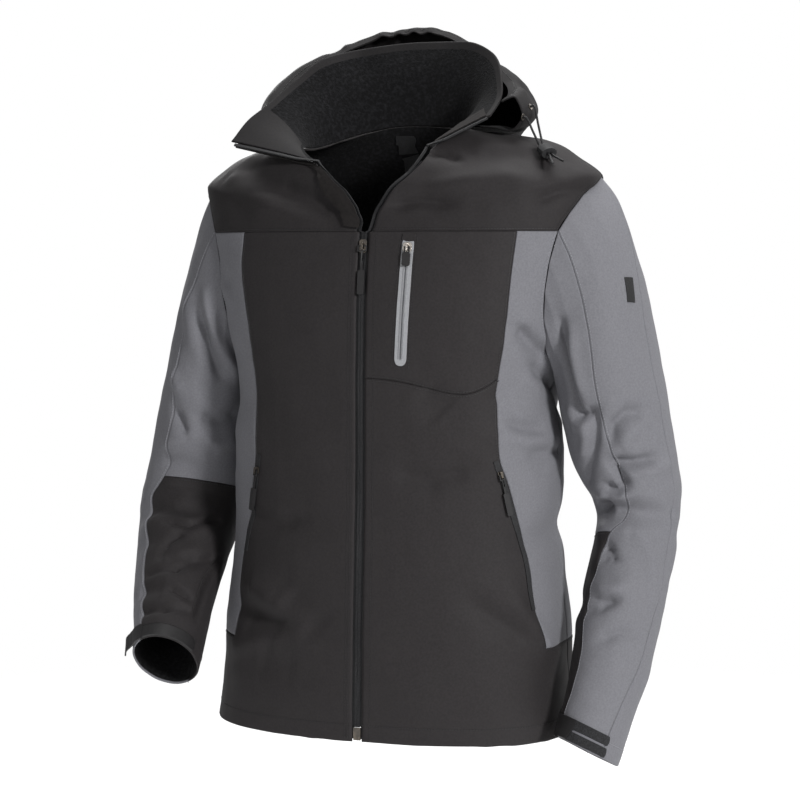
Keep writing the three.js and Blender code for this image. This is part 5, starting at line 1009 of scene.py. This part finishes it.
def laid(node, mat, slot_name, blocks, step=3.2):
    """A trim's solid carried from the facets onto the fine cloth."""
    obj = copy_node(node, mat, step)
    grids = [COARSE[b] for b in blocks]
    for vertex in obj.data.vertices:
        at = np.array(vertex.co) / MM
        _, u, v, offset, fine = min((g.place(at) + (g.fine,) for g in grids), key=lambda item: item[0])
        vertex.co = Vector((fine.at(u, v)[0][0] + offset) * MM)
    return owned(shaded(obj), slot_name, stands_for=node)


def hard(node, mat, slot_name, body="jacket", bevel=0.3, segments=2):
    """A hard part with its edges rounded."""
    obj = copy_node(node, mat)
    shaded(obj, 30)
    modifier = obj.modifiers.new("edges", "BEVEL")
    modifier.width = bevel * MM
    modifier.segments = segments
    modifier.limit_method = "ANGLE"
    modifier.angle_limit = math.radians(32)
    modifier.harden_normals = True
    return owned(obj, slot_name, body, node)


def run_of(points):
    """Distance along a line at each of its points."""
    return np.concatenate([[0], np.cumsum(np.linalg.norm(np.diff(points, axis=0), axis=1))])


def picked(at, along, field):
    return np.stack([np.interp(at, along, field[:, k]) for k in range(3)], 1)


def resample(points, step):
    along = run_of(points)
    return picked(np.arange(step / 2, along[-1], step), along, points)


def along_and_across(points, normals):
    along = unit(np.gradient(points, axis=0))
    return along, unit(np.cross(normals, along))


class Bits:
    """Many small blocks in one mesh: stitches and zip teeth."""

    def __init__(self):
        self.verts, self.faces = [], []

    def add(self, centres, along, across, normals, length, width, low, high, crown=0.6):
        for c, t, s, n in zip(centres, along, across, normals):
            f = len(self.verts)
            for z, long, wide in ((low, 1.0, 1.0), (high, 0.86, crown)):
                for a, b in ((-1, -1), (1, -1), (1, 1), (-1, 1)):
                    self.verts.append(c + t * (a * length / 2 * long) + s * (b * width / 2 * wide) + n * z)
            self.faces += [(f, f + 3, f + 2, f + 1), (f + 4, f + 5, f + 6, f + 7)]
            self.faces += [(f + k, f + (k + 1) % 4, f + 4 + (k + 1) % 4, f + 4 + k) for k in range(4)]

    def build(self, name, mat, slot_name):
        return owned(solid_from(name, self.verts, self.faces, mat), slot_name)


def line_on(surface, u, v, offset=0.0, towards=None):
    """Places and normals of a line over the cloth, moved sideways by an offset in millimetres."""
    p, n = surface.at(u, v)
    if not offset:
        return p, n
    t = unit(np.gradient(p, axis=0))
    side = unit(np.cross(n, t))
    du, dv = towards
    q, _ = surface.at(np.clip(np.asarray(u, float) + du * 0.3, 0, surface.u[-1]),
                      np.clip(np.asarray(v, float) + dv * 0.3, 0, surface.v[-1]))
    sign = np.sign(((q - p) * side).sum(-1, keepdims=True))
    return surface.seats(p + side * sign * offset)


STITCH = dict(length=2.5, width=0.75, low=-0.3, high=0.42)
STITCH_STEP = 3.3


def stitch(bits, surface, points):
    places, normals = surface.seats(resample(points, STITCH_STEP))
    _, across = along_and_across(places, normals)
    bits.add(places, unit(np.cross(across, normals)), across, normals, **STITCH)


def seam_line(u, v, n):
    """Columns and rows of a line: a pair runs from its first to its last, and a number stays."""
    return [np.linspace(*x, n) if isinstance(x, tuple) else np.full(n, float(x)) for x in (u, v)]


black_bits, dark_bits, grey_bits, trim_bits = Bits(), Bits(), Bits(), Bits()
# Rows of stitches: thread, block, columns, rows, points, millimetres aside, and to which side
STITCHES = [
    # front edges: two rows on the right front, one on the left
    (black_bits, RIGHT, 0, (0.1, 17), 200, 5.2, (1, 0)),
    (black_bits, RIGHT, 0, (0.1, 17), 200, 8.6, (1, 0)),
    (black_bits, LEFT, 0, (0.1, 17), 200, 9.5, (1, 0)),
]
# hem
STITCHES += [(black_bits, surface, (0, last), HEM_ROW, 120, 0, None)
             for surface, last in ((LEFT, 10), (RIGHT, 10), (REAR, 17))]
# princess and side-back seams, on the black panels
for surface in (LEFT, RIGHT):
    STITCHES += [
        (black_bits, surface, 6, MIDDLE, 160, 2.6, (-1, 0)),
        (black_bits, surface, (6, 10), R_FOOT, 40, 2.6, (0, -1)),
        (dark_bits, surface, (0, 10), R_YOKE, 90, 2.6, (0, 1)),
    ]
STITCHES += [
    (black_bits, REAR, 4, MIDDLE, 160, 2.6, (1, 0)),
    (black_bits, REAR, 13, MIDDLE, 160, 2.6, (-1, 0)),
    (dark_bits, REAR, (0, 17), R_YOKE, 140, 2.6, (0, 1)),
    (black_bits, REAR, (0, 4), R_FOOT, 40, 2.6, (0, -1)),
    (black_bits, REAR, (13, 17), R_FOOT, 40, 2.6, (0, -1)),
    # chest seam
    (black_bits, LEFT, (0.05, 6), R_CHEST, 80, 2.4, (0, 1)),
    (black_bits, LEFT, (0.05, 6), R_CHEST, 80, 2.4, (0, -1)),
]
# armholes, on the body side
for surface, column, way in ((LEFT, 10, -1), (RIGHT, 10, -1), (REAR, 0, 1), (REAR, 17, -1)):
    STITCHES += [
        (dark_bits, surface, column, (R_YOKE, R_SHOULDER), 60, 3.0, (way, 0)),
        (grey_bits, surface, column, (R_CHEST, R_YOKE), 60, 3.0, (way, 0)),
    ]
for surface, forearm in FOREARM:
    STITCHES += [
        (grey_bits, surface, 3, (0, STATIONS), 200, 2.4, (-1, 0)),
        (grey_bits, surface, 12, (0, STATIONS), 200, 2.4, (1, 0)),
        (black_bits, surface, (3, 12), forearm, 80, 2.4, (0, 1)),
        (grey_bits, surface, (0, 3), 17.4, 60, 0, None),
        (grey_bits, surface, (12, 16), 17.4, 60, 0, None),
        (black_bits, surface, (3, 12), 17.4, 90, 0, None),
    ]
STITCHES += [
    # collar: under its top edge and along its foot
    (dark_bits, NECKBAND, (0.1, 21.9), 4, 160, 8.5, (0, -1)),
    (dark_bits, NECKBAND, (0, 22), 0, 120, 2.4, (0, 1)),
    # hood: beside the centre panel and along the rim
    (dark_bits, POUCH, 8, (0, 11), 120, 2.4, (-1, 0)),
    (dark_bits, POUCH, 14, (0, 11), 120, 2.4, (1, 0)),
    (dark_bits, POUCH, (0, 22), 11, 160, 9.0, (0, -1)),
]
for bits, surface, u, v, n, offset, towards in STITCHES:
    stitch(bits, surface, line_on(surface, *seam_line(u, v, n), offset, towards)[0])
black_bits.build("stitches_black", THREAD, "black_shell")
dark_bits.build("stitches_dark", DARK_THREAD, "black_shell")
grey_bits.build("stitches_grey", GREY_THREAD, "grey_shell")

TRIMS = {name: laid(name, mat, slot_name, blocks, step) for name, mat, slot_name, blocks, step in (
    ("zip_coil", TAPE, "zip_tape", ["left", "right"], 3.2),
    ("wind_flap", FACING, "facing", ["right", "neck"], 2.5),
    ("zip_facing_left", FACING, "facing", ["neck"], 2.5),
    ("neck_label", TRIM, "trim_tape", ["rear"], 3.2),
    ("hanger_loop", TRIM, "trim_tape", ["rear"], 3.2),
    ("sleeve_patch", TRIM, "trim_tape", ["arm_l"], 3.2),
    ("cuff_tab_left", RUBBER, "black_rubber", ["arm_l"], 3.2),
    ("cuff_tab_right", RUBBER, "black_rubber", ["arm_r"], 3.2),
)}
for side in ("left", "right"):
    for name, blocks, step in (("zip_tape_", [side], 3.2), ("zip_teeth_", [side, "neck"], 2.5),
                               ("pocket_zip_", [side], 3.2)):
        TRIMS[name + side] = laid(name + side, TAPE, "zip_tape", blocks, step)
laid("zip_box", METAL, "dark_metal", ["left", "right"])

for name, mat, bevel in (("main_slider", METAL, 0.3), ("chest_slider", BRIGHT, 0.3),
                         ("pocket_slider_left", METAL, 0.22), ("pocket_slider_right", METAL, 0.22)):
    hard(name, mat, "dark_metal", bevel=bevel)
for name in ("main_pull", "chest_pull", "pocket_pull_left", "pocket_pull_right"):
    hard(name, RUBBER, "black_rubber", name, 0.4, 3)
for name in ("eyelet_1", "eyelet_2"):
    hard(name, METAL, "dark_metal", bevel=0.25)
lock = hard("cord_lock", TRIM, "black_rubber", bevel=0.8, segments=3)

# zip teeth
teeth_bits = Bits()
TEETH_PITCH = 1.5


def teeth_rows(points, normals, across, offset, width, low, high, shift=0.0):
    along = run_of(points)
    at = np.arange(TEETH_PITCH * (0.5 + shift), along[-1], TEETH_PITCH)
    c, n, s = picked(at, along, points), unit(picked(at, along, normals)), unit(picked(at, along, across))
    teeth_bits.add(c + s * offset, unit(np.cross(n, s)), s, n, 0.85, width, low, high, 0.8)


rows = np.linspace(row_at(-663), row_at(-138), 300)
pl, nl = LEFT.at(0.0, rows)
pr, nr = RIGHT.at(0.0, rows)
middle, normal = (pl + pr) / 2, unit(nl + nr)
across = unit(pl - pr)


class Strips:
    """Flat tapes inside the cloth, behind its seams, in one mesh."""

    def __init__(self):
        self.verts, self.faces = [], []

    def add(self, places, across, normals, half, low, high):
        start, n = len(self.verts), len(places)
        corners = [places + across * (a * half) + normals * z
                   for a, z in ((-1, low), (1, low), (1, high), (-1, high))]
        self.verts += list(np.stack(corners, 1).reshape(-1, 3))
        self.faces += tube_faces(n, start)
        last = start + 4 * n - 4
        self.faces += [(start + 3, start + 2, start + 1, start), (last, last + 1, last + 2, last + 3)]

    def behind(self, surface, u, v, n):
        p, facing = surface.at(*seam_line(u, v, n))
        self.add(p, along_and_across(p, facing)[1], facing, 2.4, -1.6, -1.0)

    def build(self, name, mat, slot_name, stands_for=None):
        TRIMS[name] = owned(solid_from(name, self.verts, self.faces, mat), slot_name, stands_for=stands_for)


zip_back = Strips()
zip_back.add(middle, across, normal, 6.0, -3.6, -2.6)
zip_back.build("zip_coil_back", TAPE, "zip_tape", "zip_coil")
seam_tapes = Strips()
for surface in (LEFT, RIGHT):
    seam_tapes.behind(surface, 10, (0.06, row_at(-278)), 90)
    seam_tapes.behind(surface, 6, MIDDLE, 90)
    seam_tapes.behind(surface, (6, 10), R_FOOT, 30)
    seam_tapes.behind(surface, (0.1, 10), R_YOKE, 60)
seam_tapes.behind(LEFT, (0.1, 6), R_CHEST, 60)
for u in (4, 13):
    seam_tapes.behind(REAR, u, MIDDLE, 90)
for span in ((0, 4), (13, 17)):
    seam_tapes.behind(REAR, span, R_FOOT, 30)
seam_tapes.behind(REAR, (0, 17), R_YOKE, 90)
for surface, forearm in FOREARM:
    for u in (3, 12):
        seam_tapes.behind(surface, u, (0.2, 17.95), 160)
    seam_tapes.behind(surface, (3, 12), forearm, 90)
for u in (8, 14):
    seam_tapes.behind(POUCH, u, (0.1, 10.95), 80)
seam_tapes.build("seam_tapes", FLEECE, "black_shell")

teeth_rows(middle, normal, across, 1.45, 2.5, -1.6, -0.75)
teeth_rows(middle, normal, across, -1.45, 2.5, -1.6, -0.75, 0.5)
open_rows, collar_rows = np.linspace(row_at(-133), 24.6, 120), np.linspace(0.3, 3.8, 60)
for surface, column, step in ((LEFT, 0.0, 0.3), (RIGHT, 22.0, -0.3)):
    for block, at, beside, rows, offset in ((surface, 0.0, 0.4, open_rows, -4.1),
                                            (NECKBAND, column, column + step, collar_rows, -3.2)):
        p, n = block.at(at, rows)
        teeth_rows(p, n, unit(block.at(beside, rows)[0] - p), offset, 2.3, -1.7, -0.8)
teeth_bits.build("zip_teeth_rows", TEETH, "zip_tape")


def through(points, each=4):
    """Smooth centripetal curve through the route's points."""
    p = np.array(points, float)
    p = np.concatenate([[2 * p[0] - p[1]], p, [2 * p[-1] - p[-2]]])
    out = []
    for k in range(1, len(p) - 2):
        p0, p1, p2, p3 = p[k - 1:k + 3]
        d1, d2, d3 = (max(np.linalg.norm(b - a), 1e-6) ** 0.5 for a, b in ((p0, p1), (p1, p2), (p2, p3)))
        m1 = ((p1 - p0) / d1 - (p2 - p0) / (d1 + d2) + (p2 - p1) / d2) * d2
        m2 = ((p2 - p1) / d2 - (p3 - p1) / (d2 + d3) + (p3 - p2) / d3) * d2
        for w in np.arange(each) / each:
            out.append((2 * w ** 3 - 3 * w ** 2 + 1) * p1 + (w ** 3 - 2 * w ** 2 + w) * m1
                       + (-2 * w ** 3 + 3 * w ** 2) * p2 + (w ** 3 - w ** 2) * m2)
    out.append(p[-2])
    return np.array(out)


def ribbon(name, surface, points, half, low, high, mat, slot_name, ends, stands_for=None):
    """A narrow strip on the cloth along a line, with rounded ends."""
    centre, normals = surface.seats(resample(np.asarray(points, float), 1.2))
    n = len(centre)
    _, s = along_and_across(centre, normals)
    along = run_of(centre)
    reach = np.clip(np.minimum(along, along[-1] - along) / ends, 0, 1)
    taper = np.sqrt(1 - (1 - reach) ** 2) * 0.7 + 0.3
    sections = []
    for a, z in ((-1, low), (-0.94, high), (0.94, high), (1, low)):
        place, facing = surface.seats(centre + s * (a * half * taper)[:, None])
        sections.append(place + facing * z)
    faces = tube_faces(n) + [(0, 1, 2, 3), (4 * n - 1, 4 * n - 2, 4 * n - 3, 4 * n - 4)]
    obj = solid_from(name, np.stack(sections, 1).reshape(-1, 3), faces, mat, True)
    TRIMS[name] = owned(shaded(obj), slot_name, stands_for=stands_for)


def round_cuff(key, points, rise):
    """A line round a cuff, at a distance above its rim, past the given places."""
    grid = COARSE[key]
    columns = np.array([grid.place(p)[1] for p in points])
    columns = np.where(columns > 12.5, columns - 16, columns)
    dense = np.interp(np.linspace(0, 1, 60), np.linspace(0, 1, len(columns)), columns) % 16
    return line_on(grid.fine, dense, np.full(60, 18.0), rise, (0, -1))[0]


chest_line = [(52.6, -130, -118), (51.4, -131, -140), (49.5, -136, -190), (46.6, -140, -262)]
ribbon("chest_zip_form", LEFT, chest_line, 7.0, -0.4, 0.9, LIGHT, "light_zip_tape", 9.0, "chest_zip")
# The dark strip in the groove between the chest zip's teeth rows is painted shade
ribbon("chest_zip_groove_shade", LEFT, [(51.4, -131, -140), (46.9, -140, -255)], 0.5, 0.8, 1.15, ZIP_GROOVE_SHADE,
       "light_zip_tape", 3.0)
ribbon("chest_zip_cover", LEFT, [(53.2, -129, -113.5), (52.4, -130, -124)], 7.6, 0.0, 1.3, BLACK, "black_shell", 0.5)
upper = [(232, -113, -659), (249, -117, -661), (263, -113, -667), (274, -102, -674)]
lower = upper[:3] + [(271, -105, -680)]
tab_end = [(211, -90, -661), (222, -106, -659), (236, -115.5, -660)]
band = [(-247, -188, -566), (-238, -191, -563), (-220, -192, -561), (-205, -187, -563), (-194, -176, -568),
        (-189, -167, -575)]
# name, sleeve, places, distance above the rim, half width, bottom, top, material, slot, end length, solid
for name, key, places, rise, half, low, high, mat, slot_name, ends, node in (
        ("velcro_upper_left_form", "arm_l", upper, 20.0, 5.6, -0.3, 1.2, HOOKS, "trim_tape", 1.5, "velcro_upper_left"),
        ("velcro_lower_left_form", "arm_l", lower, 6.6, 5.4, -0.3, 1.2, HOOKS, "trim_tape", 1.5, "velcro_lower_left"),
        ("cuff_tab_left_end", "arm_l", tab_end, 13.4, 12.4, -0.2, 2.4, RUBBER, "black_rubber", 3.0, "cuff_tab_left"),
        ("cuff_tab_right_band", "arm_r", band, 8.8, 8.2, -0.2, 1.8, RUBBER, "black_rubber", 1.5, "cuff_tab_right")):
    ribbon(name, BLOCKS[key], round_cuff(key, places, rise), half, low, high, mat, slot_name, ends, node)

zip_bits = Bits()
for way in (-1, 1):
    centre, normals = LEFT.seats(resample(np.array([(51.6, -131, -136), (47.0, -140, -254)], float), 1.0))
    t, across = along_and_across(centre, normals)
    zip_bits.add(centre + across * (1.9 * way), t, across, normals, 0.62, 2.3, 0.6, 1.45)
    places, normals = LEFT.seats(through(chest_line, 12))
    stitch(trim_bits, LEFT, places + along_and_across(places, normals)[1] * (9.6 * way))
zip_bits.build("chest_zip_teeth", LIGHT, "light_zip_tape")
trim_bits.build("stitches_trim", THREAD, "black_shell")

# ---------------------------------------------------------------- flat width, length and area of each cloth piece, computed and not used
for name, surface, blocks, _, _ in PIECE_TABLE:
    width, length, area = flat_cut(surface, blocks)

# ---------------------------------------------------------------- hood cord
CORDS = {
    "hood_cord_1": [(160.1, -16.44, 27.52), (164.19, -16.99, 28.92), (171.78, -26.72, 7.74), (181.83, -40.54, -17.44),
                    (184.93, -43.64, -19.84), (189.9, -48.6, -23.68), (194.86, -53.56, -27.53),
                    (197.34, -56.04, -29.45), (204.16, -59.36, -33), (210.37, -62.06, -36.08)],
    "hood_cord_2": [(157.74, -39.63, 14.42), (161.95, -40.41, 13.66), (169.05, -39.93, -0.64),
                    (178.55, -43.43, -17.94), (181.65, -46.53, -20.34), (186.62, -51.49, -24.18),
                    (191.58, -56.45, -28.03), (194.06, -58.93, -29.95), (197.16, -65.54, -34.07),
                    (201.5, -73.38, -39.16)],
}
CORD_DIAMETER = 0.0026
for name, points in CORDS.items():
    line = through(points)
    curve = bpy.data.curves.new(name + "_line", "CURVE")
    curve.dimensions = "3D"
    spline = curve.splines.new("POLY")
    spline.points.add(len(line) - 1)
    spline.points.foreach_set("co", np.concatenate([line * MM, np.ones((len(line), 1))], 1).ravel())
    curve.bevel_depth = CORD_DIAMETER / 2
    curve.bevel_resolution = 4
    curve.use_fill_caps = True
    curve.materials.append(CORD)
    obj = owned(linked(bpy.data.objects.new(name + "_line", curve)), "cord", stands_for=name)
    measured = float(run_of(line)[-1]) * MM

# ---------------------------------------------------------------- floor and light
FLOOR, CLEAR_FROM, CLEAR_TO = -0.98, 1.1, 1.9  # the floor's level, and where it fades out, in metres
floor_material = bpy.data.materials.new("pale_floor")
floor_material.use_nodes = True
tree = floor_material.node_tree
shader = tree.nodes["Principled BSDF"]
shader.inputs["Base Color"].default_value = (0.9, 0.9, 0.9, 1)
shader.inputs["Roughness"].default_value = 0.9
where = tree.nodes.new("ShaderNodeTexCoord")
reach = tree.nodes.new("ShaderNodeVectorMath")
reach.operation = "LENGTH"
fade = tree.nodes.new("ShaderNodeMapRange")
fade.inputs["From Min"].default_value = CLEAR_FROM
fade.inputs["From Max"].default_value = CLEAR_TO
clear = tree.nodes.new("ShaderNodeBsdfTransparent")
mix = tree.nodes.new("ShaderNodeMixShader")
tree.links.new(where.outputs["Object"], reach.inputs[0])
tree.links.new(reach.outputs["Value"], fade.inputs["Value"])
tree.links.new(fade.outputs["Result"], mix.inputs["Fac"])
tree.links.new(shader.outputs["BSDF"], mix.inputs[1])
tree.links.new(clear.outputs["BSDF"], mix.inputs[2])
tree.links.new(mix.outputs["Shader"], tree.nodes["Material Output"].inputs["Surface"])
corners = [(-2000, -2000, 0), (2000, -2000, 0), (2000, 2000, 0), (-2000, 2000, 0)]
floor = new_mesh_object("floor", corners, [(0, 1, 2, 3)], materials=(floor_material,))
floor.location = (0, 0, FLOOR)

world = bpy.data.worlds.new("studio")
world.use_nodes = True
tree = world.node_tree
background = tree.nodes["Background"]
background.inputs["Color"].default_value = (1, 1, 1, 1)
# White behind the jacket, and a dimmer light on it
WORLD_ON_JACKET = 0.22
path = tree.nodes.new("ShaderNodeLightPath")
level = tree.nodes.new("ShaderNodeMath")
level.operation = "MULTIPLY_ADD"
level.inputs[1].default_value = 1 - WORLD_ON_JACKET
level.inputs[2].default_value = WORLD_ON_JACKET
tree.links.new(path.outputs["Is Camera Ray"], level.inputs[0])
tree.links.new(level.outputs["Value"], background.inputs["Strength"])
bpy.context.scene.world = world


def area_light(name, place, energy, size, target=(0, 0, -0.3)):
    """A rectangular light in watts, turned from its place to its target."""
    data = bpy.data.lights.new(name, "AREA")
    data.energy = energy
    data.shape = "RECTANGLE"
    data.size, data.size_y = size
    obj = bpy.data.objects.new(name, data)
    obj.location = place
    obj.rotation_euler = (Vector(place) - Vector(target)).to_track_quat("Z", "Y").to_euler()
    linked(obj)


area_light("key", (2.3, -1.7, 0.75), 74, (0.45, 0.45))
area_light("fill", (-0.5, -3.0, -0.1), 11, (1.2, 1.0))
area_light("top", (0.5, 0.5, 2.2), 6, (1.6, 1.6))
area_light("back_key", (-1.6, 2.4, 1.2), 42, (0.7, 0.7))
area_light("back_fill", (1.8, 2.6, 0.8), 14, (1.2, 1.4))
area_light("floor_light", (0, 0.9, 2.6), 90, (2.4, 1.2), (0, 1.2, FLOOR))
